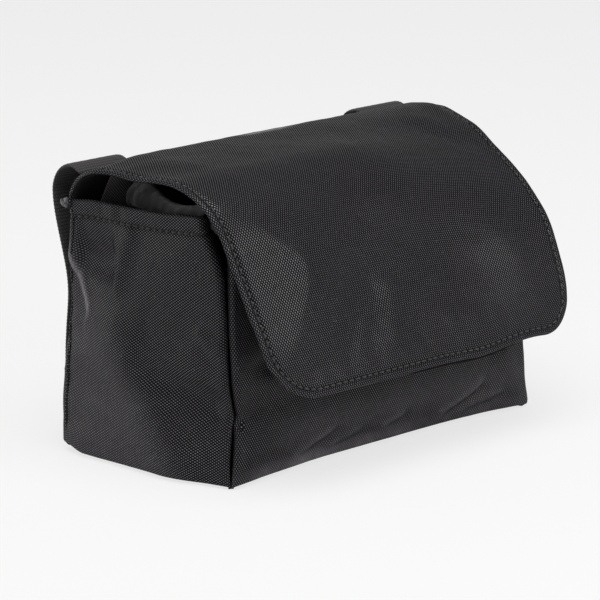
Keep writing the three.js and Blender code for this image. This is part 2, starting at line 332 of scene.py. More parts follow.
def ring_ends(rings, sides):
    """The two faces that close the ends of a row of rings."""
    last = (rings - 1) * sides
    return [list(range(sides))[::-1], list(range(last, last + sides))]


def tube_mesh(path, radius, sides=6):
    """Points and faces of a round tube with closed ends along a line of points, each with its radius."""
    way = unit(np.gradient(path, axis=0))
    side = np.cross(way[0], UPWARDS if abs(way[0][2]) < 0.9 else [1.0, 0.0, 0.0])
    turn = 2 * math.pi * np.arange(sides)[:, None] / sides
    points = []
    for p, w, r in zip(path, way, radius):
        side = unit(side - w * (side @ w))
        points.append(p + r * (side * np.cos(turn) + np.cross(w, side) * np.sin(turn)))
    return np.concatenate(points), ring_faces(len(path), sides) + ring_ends(len(path), sides)


def stitch_parts(line, normals, pitch=STITCH_PITCH, radius=0.34, share=0.66, sink=0.45, lift=0.18):
    """Thread stitches along a line on the cloth: each is a short strand whose ends dive into the cloth."""
    along = run_along(line)
    normals = np.broadcast_to(normals, line.shape)
    count = max(1, int(round(along[-1] / pitch)))
    pitch = along[-1] / count
    shape = np.array([-1.0, -0.8, -0.4, 0.0, 0.4, 0.8, 1.0])
    rise = lift - (lift + sink) * np.abs(shape) ** 3
    thin = np.sqrt(1 - (0.93 * shape) ** 2) ** 0.5
    parts = []
    for k in range(count):
        at = (k + 0.5) * pitch + shape * pitch * share / 2
        out = unit(line_at(normals, along, at))
        parts.append(tube_mesh(line_at(line, along, at) + out * rise[:, None], radius * thin))
    return parts


def thread_piece(name, parts, finish):
    """Joins strands of thread into one piece."""
    points, faces, start = [], [], 0
    for p, f in parts:
        points.append(p)
        faces += [[i + start for i in face] for face in f]
        start += len(p)
    points = np.concatenate(points)
    return make_object(name, points, faces, finish, points[:, [0, 2]])


# The line of back and flap


def spoke(length, turn):
    """A step in Y and Z of a length. At no turn it points backwards, at a quarter turn upwards."""
    return length * np.array([math.cos(turn), math.sin(turn)])


RISE_TURN = math.pi / 2 - TOP_RISE
BEND_TURN = math.pi / 2 - FLAP_FLARE + TOP_RISE
BEND_HALF = BEND_RADIUS * math.tan(BEND_TURN / 2)
SHOULDER_END = np.array([HALF_DEPTH - SHOULDER_RADIUS, SHOULDER_BASE]) + spoke(SHOULDER_RADIUS, RISE_TURN)
TOP_RUN = SHOULDER_END[0] - HALF_DEPTH + FLAP_REACH
BEND_CORNER = np.array([HALF_DEPTH - FLAP_REACH, SHOULDER_END[1] + TOP_RUN * math.tan(TOP_RISE)])
BEND_START = BEND_CORNER + spoke(BEND_HALF, -TOP_RISE)
BEND_CENTRE = BEND_START - spoke(BEND_RADIUS, RISE_TURN)
TOP_FROM = SHOULDER_BASE + SHOULDER_RADIUS * RISE_TURN
BEND_FROM = TOP_FROM + np.linalg.norm(BEND_START - SHOULDER_END)
FOLD_AT = BEND_FROM + BEND_RADIUS * BEND_TURN
FOLD_POINT = BEND_CENTRE + spoke(BEND_RADIUS, RISE_TURN + BEND_TURN)


def spine(s):
    """Y and Z of the back and flap at a distance s along their middle line from the floor."""
    s = np.asarray(s, float)
    turn = (s - SHOULDER_BASE) / SHOULDER_RADIUS
    bend = RISE_TURN + (s - BEND_FROM) / BEND_RADIUS
    stretches = [s < SHOULDER_BASE, s < TOP_FROM, s < BEND_FROM, s < FOLD_AT]
    y = np.select(
        stretches,
        [
            np.full_like(s, HALF_DEPTH),
            HALF_DEPTH - SHOULDER_RADIUS + SHOULDER_RADIUS * np.cos(turn),
            SHOULDER_END[0] - (s - TOP_FROM) * math.cos(TOP_RISE),
            BEND_CENTRE[0] + BEND_RADIUS * np.cos(bend),
        ],
        FOLD_POINT[0] - (s - FOLD_AT) * math.sin(FLAP_FLARE),
    )
    z = np.select(
        stretches,
        [
            s,
            SHOULDER_BASE + SHOULDER_RADIUS * np.sin(turn),
            SHOULDER_END[1] + (s - TOP_FROM) * math.sin(TOP_RISE),
            BEND_CENTRE[1] + BEND_RADIUS * np.sin(bend),
        ],
        FOLD_POINT[1] - (s - FOLD_AT) * math.cos(FLAP_FLARE),
    )
    return y, z


# The right edge of the flap droops sooner than the rest: y and z against the distance along it.
DROOP = [
    (114.8, 33.5, 111.7), (119, 29.8, 113.5), (123.3, 25.5, 114.9), (136, 13, 115.3),
    (148.5, 0.8, 112.5), (162, -11.6, 107.2), (177, -24.8, 100.4), (192, -37.5, 93.0),
    (205.5, -47.4, 82.3), (220, -55.5, 70), (232.5, -60.7, 58.7), (239, -62.6, 52.6),
    (262, -68.4, 30.6),
]
droop_y, droop_z = (eased([d[0] for d in DROOP], [d[k] for d in DROOP], 5.0) for k in (1, 2))


def half_width(s):
    """Half the width of the back and flap at a distance s along them."""
    return np.where(
        s < SEAM_AT,
        BACK_HALF_WIDTH + (SEAM_HALF_WIDTH - BACK_HALF_WIDTH) * s / SEAM_AT,
        SEAM_HALF_WIDTH + (FLAP_HALF_WIDTH - SEAM_HALF_WIDTH) * (s - SEAM_AT) / (FLAP_END - SEAM_AT),
    )


FLAP_FOLDS = [
    # x and distance along the flap, width, height
    ([(-47, 227), (-28, 224), (-4, 221), (22, 220), (42, 223), (60, 230)], 12.0, -1.9),
    ([(-46, 234), (-38, 236), (-30, 242)], 9.0, -0.8),
    ([(-6, 219), (-10, 232), (-14, 242), (-18, 252)], 6.0, 1.4),
    ([(34, 206), (30, 220), (27, 232), (24, 244)], 16.0, -1.2),
    ([(-54, 208), (-29, 207), (-7, 205.5), (14, 203.5), (34, 203)], 5.0, 0.9),
    ([(60, 232), (64, 244), (62, 256)], 9.0, 0.7),
    ([(56, 138), (68, 149), (84, 158)], 5.5, 0.6),
    ([(50, 147), (66, 160), (82, 170)], 6.0, -0.5),
    ([(-84, 128), (-70, 140), (-58, 156)], 7.0, 0.5),
    ([(-20, 128), (0, 140), (24, 146)], 12.0, -0.6),
]
# Small drag lines run up from the bottom stitches.
for step in range(12):
    foot = -62 + 10.4 * step + 2.4 * math.sin(5.1 * step)
    rise = 0.16 + 0.12 * math.sin(3.3 * step)
    FLAP_FOLDS.append(([(foot - 6, 240), (foot - 2, 249), (foot + 1, 259)], 2.6, rise))
    FLAP_FOLDS.append(([(foot - 1, 243), (foot + 2.5, 251), (foot + 5, 259)], 2.6, -rise))

# The crest of the flat facet at the left of the flap's front.
FACET = np.array([
    (-79.5, 174), (-78.5, 179.4), (-72.1, 189.5), (-63.2, 197.5), (-55.6, 204.3), (-52.4, 208),
    (-51.5, 212.1), (-53.3, 219.6), (-57.0, 226.7), (-62.8, 235.4), (-67.5, 242.2), (-70.5, 249),
])
FACET_SLOPE = 0.18
FACET_FALL = 36.0


def flap_facet(flat, gap):
    """The facet rises from the flap's left edge to a sharp crest and falls away beyond it."""
    x, s = flat[:, 0], flat[:, 1]
    distance, share = near(flat, FACET)
    run = run_along(FACET)
    heights = FACET_SLOPE * flap_edge_gap(FACET[:, 0], FACET[:, 1])
    crest = np.interp(share, run / run[-1], heights)
    left = x < np.interp(s, FACET[:, 1], FACET[:, 0])
    rising = np.minimum(FACET_SLOPE * np.maximum(gap, 0), crest)
    falling = crest * np.clip(1 - distance / FACET_FALL, 0, 1) ** 1.25
    return np.where(left, rising, falling) * smooth(170, 186, s) * smooth(FLAP_END - 2, 240, s)


def flap_edge_gap(x, s):
    """Distance in mm from a point of the flap to its free edge."""
    side = half_width(s) - np.abs(x)
    foot = FLAP_END - s
    corner = np.where(x > 0, RIGHT_CORNER, FLAP_CORNER)
    inside = np.minimum(side, foot)
    in_corner = (side < corner) & (foot < corner)
    round_gap = corner - np.hypot(corner - side, corner - foot)
    return np.where(in_corner, round_gap, inside)


def flap_swell(x, s):
    """Soft waves, folds and the puckers along the sewn edge of the flap, in mm outwards."""
    flat = np.stack([x, s], 1)
    free = smooth(SEAM_AT, 140, s)
    gap = flap_edge_gap(x, s)
    swell = free * (0.45 * waves(flat, 34, 11) + 0.18 * waves(flat, 15, 12) + creases(flat, FLAP_FOLDS))
    swell += 0.10 * waves(flat, 6, 13)
    edge_wave = np.exp(-gap / 9.0) * smooth(SHOULDER_BASE, 140, s)
    swell += edge_wave * 0.55 * waves(flat, 13, 14)
    # The top stands a little higher between the sewn edges.
    ramp = smooth(0, np.where(x > 0, 9.0, 26.0), half_width(s) - np.abs(x))
    swell += 2.3 * ramp * smooth(108, 119, s) * smooth(176 - 12 * smooth(0, 50, x), 134, s)
    return swell + flap_facet(flat, gap)


def rim_shape(gap, along):
    """The sewn edge: a puffed rim, a groove where the thread pulls, then a slight rise."""
    groove = -0.34 * bell(gap, STITCH_INSET, 0.75)
    puff = 0.10 * bell(gap, 1.2, 0.7) + 0.16 * bell(gap, 4.6, 1.6)
    pucker = -0.42 * stitch_pull(along) ** 3 * bell(gap, STITCH_INSET, 1.0)
    return groove + puff + pucker


def flap_middle(x, s):
    """Points of the flap before its swells, with the droop of its right side."""
    # Slack in the drooping side draws its lower corner up.
    s = s - 5.5 * smooth(22, 62, x) * smooth(205, FLAP_END, s)
    y, z = spine(s)
    w = smooth(4, 84, x) * smooth(SEAM_AT, 132, s)
    x = x + 1.3 * smooth(66, 80, x) * smooth(192, 212, s) * smooth(252, 238, s)
    return np.stack([x, y + (droop_y(s) - y) * w, z + (droop_z(s) - z) * w], 1)


def flap_normal(x, s):
    step = 0.4
    along = flap_middle(x, s + step) - flap_middle(x, s - step)
    across = flap_middle(x + step, s) - flap_middle(x - step, s)
    return unit(np.cross(along, across))


def flap_face(x, s, under=0.0, along=None):
    """A point of the flap's outer face, or of a layer under it. along counts mm of its edge."""
    swell = flap_swell(x, s)
    if along is not None:
        rim = rim_shape(flap_edge_gap(x, s), along)
        swell = swell + rim * smooth(SHOULDER_BASE - 2, SHOULDER_BASE + 4, s)
    return flap_middle(x, s) + flap_normal(x, s) * (swell - under)[:, None]


# Finishes


def feed(tree, node, inputs):
    """Sets a node's inputs: a socket is linked and a plain value is written."""
    for key, value in inputs.items():
        if isinstance(value, bpy.types.NodeSocket):
            tree.links.new(value, node.inputs[key])
        else:
            node.inputs[key].default_value = value


def add(tree, kind, inputs=None, **settings):
    node = tree.nodes.new(kind)
    for key, value in settings.items():
        setattr(node, key, value)
    feed(tree, node, inputs or {})
    return node


def math_node(tree, operation, *values):
    return add(tree, "ShaderNodeMath", dict(enumerate(values)), operation=operation).outputs[0]


def new_group(name, inputs, outputs):
    """A shader node group, the sockets that it is given and the node that takes its results."""
    group = bpy.data.node_groups.new(name, "ShaderNodeTree")
    for label, kind, value in inputs:
        socket = group.interface.new_socket(label, in_out="INPUT", socket_type="NodeSocket" + kind)
        if value is not None:
            socket.default_value = value
    for label in outputs:
        group.interface.new_socket(label, in_out="OUTPUT", socket_type="NodeSocketFloat")
    return group, group.nodes.new("NodeGroupInput").outputs, group.nodes.new("NodeGroupOutput")


def half_wave(group, value):
    """A sine that changes sign at every whole step of the value."""
    return math_node(group, "SINE", math_node(group, "MULTIPLY", value, math.pi))


def weave_group():
    """Plain weave of coarse yarn: every second crossing shows a bright float, the rest lie dark."""
    inputs = [
        ("Cloth", "Vector", None), ("Across", "Float", 0.0006), ("Along", "Float", 0.0009),
        ("Uneven", "Float", 0.3),
    ]
    group, given, result = new_group("yarn weave", inputs, ["Tone", "Height", "Top"])
    split = add(group, "ShaderNodeSeparateXYZ", {"Vector": given["Cloth"]}).outputs
    u = math_node(group, "DIVIDE", split["X"], given["Across"])
    v = math_node(group, "DIVIDE", split["Y"], given["Along"])
    cross = math_node(group, "MULTIPLY", half_wave(group, u), half_wave(group, v))
    cell = {"X": math_node(group, "FLOOR", u), "Y": math_node(group, "FLOOR", v)}
    spot = add(group, "ShaderNodeCombineXYZ", cell).outputs[0]
    odd = add(group, "ShaderNodeTexWhiteNoise", {"Vector": spot}, noise_dimensions="2D").outputs["Value"]
    vary = math_node(group, "SUBTRACT", odd, 0.5)
    shown = math_node(group, "MAXIMUM", cross, 0.0)
    gain = math_node(group, "MULTIPLY_ADD", vary, given["Uneven"], 1.0)
    feed(group, result, {
        "Tone": math_node(group, "MULTIPLY", math_node(group, "POWER", shown, 3.2), gain),
        "Height": math_node(group, "POWER", math_node(group, "ABSOLUTE", cross), 0.6),
        "Top": math_node(group, "MULTIPLY", math_node(group, "POWER", shown, 1.3), gain),
    })
    return group


def rib_group():
    """Webbing: ribs across the strap, each one split into small yarn knuckles."""
    inputs = [("Cloth", "Vector", None), ("Rib", "Float", 0.0014), ("Knuckle", "Float", 0.0011)]
    group, given, result = new_group("webbing ribs", inputs, ["Tone", "Height"])
    split = add(group, "ShaderNodeSeparateXYZ", {"Vector": given["Cloth"]}).outputs
    u = math_node(group, "DIVIDE", split["X"], given["Knuckle"])
    v = math_node(group, "DIVIDE", split["Y"], given["Rib"])
    row = math_node(group, "FLOOR", v)
    shift = math_node(group, "MULTIPLY", math_node(group, "MODULO", row, 2.0), 0.5)
    across = math_node(group, "ABSOLUTE", half_wave(group, math_node(group, "ADD", u, shift)))
    along = math_node(group, "ABSOLUTE", half_wave(group, v))
    bump = math_node(group, "MULTIPLY", across, along)
    feed(group, result, {
        "Tone": math_node(group, "POWER", bump, 0.8),
        "Height": math_node(group, "POWER", bump, 0.5),
    })
    return group


def handling_and_light_group():
    """What use leaves on the cloth: faint lint, uneven dye and pale, scuffed edges; the same input also
    carries painted highlights and painted light, and below zero it is painted shade, which darkens.
    """
    inputs = [("Rub and light", "Float", 0.0), ("Lint", "Float", 0.3), ("Dye", "Float", 0.3)]
    group, given, result = new_group("handling and painted light", inputs, ["Shade", "Pale"])
    place = add(group, "ShaderNodeTexCoord").outputs["Object"]
    broad = add(group, "ShaderNodeTexNoise", {"Vector": place, "Scale": 24.0, "Detail": 3.0}).outputs[0]
    fine = add(group, "ShaderNodeTexNoise", {"Vector": place, "Scale": 420.0, "Detail": 2.0}).outputs[0]
    shade = math_node(group, "MULTIPLY_ADD", math_node(group, "SUBTRACT", broad, 0.5), given["Dye"], 1.0)
    shade = math_node(group, "MULTIPLY_ADD", math_node(group, "SUBTRACT", fine, 0.5), 0.22, shade)
    # Below zero the input is painted shade, and the cloth is darkened.
    dim = math_node(group, "MINIMUM", math_node(group, "ADD", given["Rub and light"], 1.0), 1.0)
    specks = add(group, "ShaderNodeTexVoronoi", {"Vector": place, "Scale": 210.0}, feature="F1")
    reach = {"Value": specks.outputs["Distance"], "From Min": 0.07, "From Max": 0.03}
    lint = math_node(group, "MULTIPLY", add(group, "ShaderNodeMapRange", reach).outputs[0], given["Lint"])
    rub_and_light = math_node(group, "MULTIPLY", given["Rub and light"], math_node(group, "MULTIPLY_ADD", fine, 0.8, 0.5))
    feed(group, result, {
        "Shade": math_node(group, "MULTIPLY", shade, math_node(group, "MAXIMUM", dim, 0.0)),
        "Pale": math_node(group, "MINIMUM", math_node(group, "ADD", lint, rub_and_light), 1.0),
    })
    return group


WEAVE = weave_group()
RIBS = rib_group()
HANDLING_AND_LIGHT = handling_and_light_group()


def start_finish(name):
    finish = bpy.data.materials.new(name)
    finish.use_nodes = True
    tree = finish.node_tree
    return finish, tree, tree.nodes["Principled BSDF"]


def handled_and_lit(tree, lint, dye):
    """The shade and the paleness that use of the cloth gives, with painted highlights and painted shade, from
    the values that each mesh carries.
    """
    rub_and_light = add(tree, "ShaderNodeAttribute", attribute_name="rub_and_light").outputs["Fac"]
    use = add(tree, "ShaderNodeGroup", {"Rub and light": rub_and_light, "Lint": lint, "Dye": dye}, node_tree=HANDLING_AND_LIGHT)
    return use.outputs["Shade"], use.outputs["Pale"]


def mixed(tree, factor, a, b, blend="MIX"):
    """Two colours mixed by a factor."""
    inputs = {"Factor": factor, "A": a, "B": b}
    node = add(tree, "ShaderNodeMix", inputs, data_type="RGBA", blend_type=blend, clamp_factor=True)
    return node.outputs["Result"]


def cloth_finish(name, dark, light, pale, pitch, rough, bump, depth, level, group=None,
                 lint=0.25, dye=0.3, sheen=0.12, uneven=0.35, coat=0.0):
    """Woven cloth: dark between the yarns, light on them and pale where it is rubbed."""
    finish, tree, shader = start_finish(name)
    cloth = add(tree, "ShaderNodeUVMap", uv_map="cloth").outputs[0]
    if group is None:
        yarn = {"Across": pitch[0], "Along": pitch[1], "Uneven": uneven}
    else:
        yarn = {"Rib": pitch[0], "Knuckle": pitch[1]}
    weave = add(tree, "ShaderNodeGroup", {"Cloth": cloth, **yarn}, node_tree=group or WEAVE).outputs
    shade, paled = handled_and_lit(tree, lint, dye)
    tone = mixed(tree, weave["Tone"], (*dark, 1), (*light, 1))
    grey = add(tree, "ShaderNodeCombineColor", dict.fromkeys(("Red", "Green", "Blue"), shade)).outputs[0]
    shaded = mixed(tree, 1.0, tone, grey, "MULTIPLY")
    gloss = {"Value": weave["Tone"], "To Min": rough[0], "To Max": rough[1]}
    relief = {"Height": weave["Height"], "Strength": bump, "Distance": depth}
    feed(tree, shader, {
        "Base Color": mixed(tree, paled, shaded, (*pale, 1)),
        "Roughness": add(tree, "ShaderNodeMapRange", gloss).outputs[0],
        "Normal": add(tree, "ShaderNodeBump", relief).outputs[0],
        "Specular IOR Level": level,
        "Sheen Weight": sheen,
        "Sheen Roughness": 0.45,
    })
    if coat:
        # Only the tops of the yarn shine.
        top = math_node(tree, "MULTIPLY", weave["Top"], shade)
        shine = math_node(tree, "MULTIPLY", top, coat)
        feed(tree, shader, {"Coat Weight": shine, "Coat Roughness": 0.37, "Coat IOR": 1.65})
    return finish


def metal_finish(name, base, pale_tone, rough):
    """Blackened metal that shows paler where it is rubbed."""
    finish, tree, shader = start_finish(name)
    shade, paled = handled_and_lit(tree, lint=0.1, dye=0.5)
    feed(tree, shader, {
        "Base Color": mixed(tree, paled, (*base, 1), (*pale_tone, 1)),
        "Roughness": math_node(tree, "MULTIPLY", shade, rough),
        "Metallic": 0.9,
    })
    return finish


# Settings that finishes share: the yarn's pitch in metres, its roughness and its relief.
SHELL_WEAVE = dict(pitch=(0.00054, 0.00082), rough=(0.8, 0.5), bump=0.15, depth=0.0003, level=0.15,
                   sheen=0.0, uneven=0.25)
LINING_WEAVE = dict(pitch=(0.0006, 0.0006), rough=(0.8, 0.6), bump=0.25, depth=0.0002)
THREAD_TWIST = dict(pitch=(0.00035, 0.0006), bump=0.3, depth=0.0001)
TAPE_PILE = dict(bump=0.9, depth=0.0005)

shell_nylon = cloth_finish(
    "shell nylon", (0.0022, 0.0020, 0.0023), (0.188, 0.1710, 0.2040), (0.34, 0.33, 0.34),
    coat=1.7, **SHELL_WEAVE,
)
# A darker, less glossy copy of the shell nylon for the walls: painted shade.
wall_nylon_painted_shade = cloth_finish(
    "shell nylon of the walls with painted shade", (0.0022, 0.0020, 0.0023), (0.184, 0.1665, 0.1970), (0.30, 0.28, 0.305),
    coat=1.42, **SHELL_WEAVE,
)
# A much lighter copy of the lining for the slack corner: painted light.
slack_nylon_painted_light = cloth_finish(
    "slack lining painted as lit", (0.085, 0.077, 0.083), (0.52, 0.475, 0.505), (0.30, 0.30, 0.30),
    level=0.2, **LINING_WEAVE,
)
lining_nylon = cloth_finish(
    "lining nylon", (0.0105, 0.0095, 0.0105), (0.050, 0.047, 0.050), (0.10, 0.10, 0.10),
    level=0.05, sheen=0.0, **LINING_WEAVE,
)
webbing_finish = cloth_finish(
    "webbing", (0.018, 0.0165, 0.0170), (0.070, 0.0640, 0.066), (0.12, 0.115, 0.115),
    pitch=(0.0014, 0.0011), group=RIBS, rough=(0.75, 0.55), bump=0.5, depth=0.0004, level=0.3,
)
thread_finish = cloth_finish(
    "sewing thread", (0.020, 0.0195, 0.020), (0.10, 0.097, 0.10), (0.2, 0.19, 0.19),
    rough=(0.6, 0.42), level=0.4, **THREAD_TWIST,
)
# A lighter copy of the sewing thread for the flap's stitches: painted glints.
flap_thread_painted_glints = cloth_finish(
    "sewing thread of the flap with painted glints", (0.030, 0.029, 0.030), (0.22, 0.213, 0.22), (0.3, 0.29, 0.3),
    rough=(0.45, 0.28), level=0.5, **THREAD_TWIST,
)
fleece_finish = cloth_finish(
    "brushed lining", (0.058, 0.0555, 0.0590), (0.130, 0.124, 0.131), (0.13, 0.13, 0.135),
    pitch=(0.0005, 0.0007), rough=(0.95, 0.85), bump=0.5, depth=0.0003, level=0.1,
    lint=0.6, dye=0.5, sheen=0.5,
)
loop_tape = cloth_finish(
    "loop tape", (0.012, 0.0115, 0.0125), (0.050, 0.049, 0.051), (0.09, 0.09, 0.09),
    pitch=(0.0007, 0.0009), rough=(0.95, 0.85), level=0.15, sheen=0.4, uneven=0.9, **TAPE_PILE,
)
hook_tape = cloth_finish(
    "hook tape", (0.010, 0.0095, 0.0105), (0.050, 0.049, 0.050), (0.1, 0.1, 0.1),
    pitch=(0.0011, 0.0011), rough=(0.6, 0.4), level=0.4, sheen=0.05, **TAPE_PILE,
)
snap_metal = metal_finish("blackened snap metal", (0.045, 0.044, 0.046), (0.45, 0.43, 0.40), 0.42)
tuft_thread = cloth_finish(
    "frayed thread end", (0.17, 0.165, 0.175), (0.28, 0.27, 0.285), (0.32, 0.31, 0.32),
    pitch=(0.0004, 0.0008), rough=(0.7, 0.6), bump=0.2, depth=0.0001, level=0.3,
)


# Flap, shoulder and their linings

# Rows of points along the flap's edge, in mm from it.
EDGE_STEPS = np.array([0, 0.45, 1.0, 1.6, 2.2, 2.7, 3.15, 3.6, 4.05, 4.6, 5.4, 6.6])


def flap_domain(widen, step):
    """A net over the flap that follows its rounded corners: x, s and mm along the edge per point."""
    half = FLAP_HALF_WIDTH + widen
    steps = int((FLAP_END - FLAP_CORNER - STRIP_TO) / step)
    turns = np.linspace(0, math.pi / 2, 2 * int(FLAP_CORNER / step * 0.62) + 1)
    foot_steps = int((2 * half - FLAP_CORNER - RIGHT_CORNER) / step)
    foot = np.linspace(-half + FLAP_CORNER, half - RIGHT_CORNER, foot_steps)
    rings = []
    for d in EDGE_STEPS:
        ends = []
        for corner in (FLAP_CORNER, RIGHT_CORNER):
            straight, r = FLAP_END - corner, corner - d
            down = np.linspace(STRIP_TO + step, straight, steps)
            rows = np.concatenate([[STRIP_TO, STRIP_TO + JOIN_ROW], down])
            edge = np.stack([-half + d * half / (half_width(rows) + widen), rows], 1)
            bend = np.stack([-half + corner - r * np.cos(turns), straight + r * np.sin(turns)], 1)[1:]
            ends.append(np.concatenate([edge, bend]))
        base = np.stack([foot, np.full_like(foot, FLAP_END - d)], 1)[1:-1]
        rings.append(np.concatenate([ends[0], base, ends[1][::-1] * [-1, 1]]))
    rings = np.array(rings)
    # Inside the rings, a net is stretched between the four sides of the innermost one.
    count = rings.shape[1]
    knee = steps + 1 + (len(turns) - 1) // 2
    core = rings[-1]
    left, base, right = core[: knee + 1], core[knee : count - knee], core[count - knee - 1 :][::-1]
    top = np.stack([np.linspace(left[0, 0], right[0, 0], len(base)), np.full(len(base), STRIP_TO)], 1)
    u = np.linspace(0, 1, len(base))[None, :, None]
    v = ((left[:, 1] - left[0, 1]) / (left[-1, 1] - left[0, 1]))[:, None, None]
    net = (1 - v) * top[None] + v * base[None] + (1 - u) * left[:, None] + u * right[:, None]
    net -= (1 - u) * (1 - v) * left[0] + u * (1 - v) * right[0] + (1 - u) * v * base[0] + u * v * base[-1]
    net[:, 0], net[:, -1], net[-1] = left, right, base
    ids = np.arange(len(rings) * count).reshape(len(rings), count)
    inner = np.full(net.shape[:2], -1)
    inner[:, 0] = ids[-1, : knee + 1]
    inner[:, -1] = ids[-1, count - knee - 1 :][::-1]
    inner[-1] = ids[-1, knee : count - knee]
    free = inner < 0
    inner[free] = ids.size + np.arange(free.sum())
    flat = np.concatenate([rings.reshape(-1, 2), net[free]])
    faces = np.concatenate([net_faces(ids), net_faces(inner)[:, [0, 3, 2, 1]]])
    mark = np.concatenate([np.tile(run_along(rings[0]), len(EDGE_STEPS)), np.zeros(free.sum())])
    x = flat[:, 0] * (half_width(flat[:, 1]) + widen) / half
    columns = np.concatenate([rings[:, 0, 0], net[0, 1:-1, 0], rings[::-1, -1, 0]]) / half
    return x, flat[:, 1], mark, faces, columns


def strip_net(columns, step):
    """A net over the strip of cloth that carries the flap: x, s and faces."""
    between = np.linspace(STRIP_FROM + step, STRIP_TO - step, int((STRIP_TO - STRIP_FROM) / step))
    ends = [STRIP_FROM, STRIP_FROM + JOIN_ROW], [STRIP_TO - JOIN_ROW, STRIP_TO]
    c, s, faces = flat_net(columns, np.concatenate([ends[0], between, ends[1]]))
    return c * half_width(s), s, faces


def flap_rub_and_light(x, s, gap):
    """A pale scuffed rim, a painted highlight along the crest and on a crease over the middle strap, painted
    shade in the sewn groove, and the rim outside the stitches a little darker.
    """
    rub_and_light = 0.04 * bell(gap, 0, 0.9) + 0.05 * smooth(125, 118, s) * smooth(108, 114, s)
    # A painted highlight on the crease over the middle strap.
    rub_and_light += 0.75 * bell(s, 122.2, 1.2) * smooth(-18, -9, x) * smooth(15, 4, x)
    # Painted shade in the sewn groove.
    sewn = 0.8 * bell(gap, STITCH_INSET, 0.55) + 0.06 * smooth(STITCH_INSET, STITCH_INSET - 1, gap)
    return rub_and_light - sewn * smooth(SEAM_AT, SEAM_AT + 3, s)


def flap_cloth(name, x, s, faces, mark):
    """Outer cloth of the flap or its shoulder, thicker along the turned edge."""
    gap = flap_edge_gap(x, s)
    thick = SHELL + 0.35 * bell(gap, 0, 2.0)
    piece = thick_sheet(name, faces, flap_face(x, s, along=mark), thick, np.stack([x, s], 1), shell_nylon,
                        out=flap_normal(x, s), wear_and_light=flap_rub_and_light(x, s, gap), rim_steps=5, bulge=1.1)
    return piece


def make_flap():
    x, s, mark, faces, columns = flap_domain(widen=0.0, step=1.3)
    flap = flap_cloth("flap", x, s, faces, mark)
    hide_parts("flap_top_shell", "flap_front_shell")
    return flap, columns


def make_shoulder(columns):
    x, s, faces = strip_net(columns, 1.2)
    return flap_cloth("shoulder_cloth", x, s, faces, STRIP_TO - s)


def flap_blend(piece):
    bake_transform(piece)


def shoulder_blend(piece):
    y0, z0 = spine(np.array([STRIP_FROM + 1.0]))
    y1, z1 = spine(np.array([STRIP_TO - 0.2]))
    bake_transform(piece)


def lining_face(x, s, under):
    """A point of the flap's lining, with small waves of its own."""
    return flap_face(x, s, under - 0.12 * waves(np.stack([x, s], 1), 8, 21))


def lining_cloth(name, x, s, faces):
    piece = thick_sheet(name, faces, lining_face(x, s, LINING_UNDER), LINING, np.stack([x, s], 1),
                        lining_nylon, out=flap_normal(x, s))
    return piece


def make_flap_lining():
    inset = 1.0
    x, s, _, faces, columns = flap_domain(widen=-inset, step=2.2)
    # It hangs a little below the flap's edge to the right of the middle and ends short of it elsewhere.
    low = smooth(-30, 0, x) * smooth(62, 40, x)
    s = s + smooth(FLAP_END - 30, FLAP_END, s) * (1.3 * low - 0.9 * (1 - low))
    piece = lining_cloth("flap_lining", x, s, faces)
    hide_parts("flap_top_lining", "flap_front_lining")
    x, s, faces = strip_net(columns, 1.6)
    x = x * (half_width(s) - inset) / half_width(s)
    return piece, lining_cloth("shoulder_lining", x, s, faces)


def flap_stitch_line():
    """The line that the flap's topstitching follows, from the left of the shoulder round to the right."""
    turn = np.linspace(0, math.pi / 2, 24)[1:]
    ends = []
    for corner in (FLAP_CORNER, RIGHT_CORNER):
        straight, r = FLAP_END - corner, corner - STITCH_INSET
        rows = np.linspace(STRIP_TO, straight, 120)
        edge = np.stack([-half_width(rows) + STITCH_INSET, rows], 1)
        bend = np.stack([-FLAP_HALF_WIDTH + corner - r * np.cos(turn), straight + r * np.sin(turn)], 1)
        bend[:, 0] *= half_width(bend[:, 1]) / FLAP_HALF_WIDTH
        ends.append(np.concatenate([edge, bend]))
    return np.concatenate([ends[0], ends[1][::-1] * [-1, 1]])


def flap_stitches(x, s):
    """Stitches that lie in the groove of the flap's rim."""
    return stitch_parts(flap_face(x, s, under=STITCH_UNDER), flap_normal(x, s))


def make_flap_stitches():
    line = flap_stitch_line()
    run = run_along(line)
    x, s = line_at(line, run, np.linspace(0, run[-1], 1400)).T
    flap_row = thread_piece("flap_topstitch", flap_stitches(x, s), flap_thread_painted_glints)
    s = np.linspace(STRIP_FROM + 0.5, STRIP_TO - 0.5, 60)
    parts = []
    for sign in (-1, 1):
        parts += flap_stitches(sign * (half_width(s) - STITCH_INSET), s)
    return flap_row, thread_piece("shoulder_topstitch", parts, thread_finish)


# Body panels

# Plan position of the front seams against height. The left one is drawn in and kinked.
left_seam_x = eased(
    [-2, 0, 6, 12, 20, 23.5, 27.5, 31, 38.7, 50, 62, 73, 84, 92, 104],
    [-82.2, -82.0, -81.6, -80.7, -79.3, -78.6, -77.3, -78.3, -79.3, -79.5, -79.2, -78.9, -78.2, -78.0, -78.6],
    0.9,
)
right_seam_x = eased([-2, 0, 8, 16, 28, 50, 75, 104], [81.8, 81.8, 82.0, 82.3, 82.4, 81.2, 80.4, 80.0], 4.0)
# How far the left back edge is pinched in, against height. The right one is pinched half as far.
back_pinch = eased([-2, 20, 41, 50, 57, 64, 72, 82, 104], [-0.6, -1.7, -0.7, 1.2, 2.4, 2.4, 1.0, 0, 0], 2.5)


def front_plane(z):
    """Y of the front, which leans back towards its top."""
    return -HALF_DEPTH + FRONT_LEAN * z / FRONT_TOP


def front_seam(z, sign):
    return np.stack([left_seam_x(z) if sign < 0 else right_seam_x(z), front_plane(z)], -1)


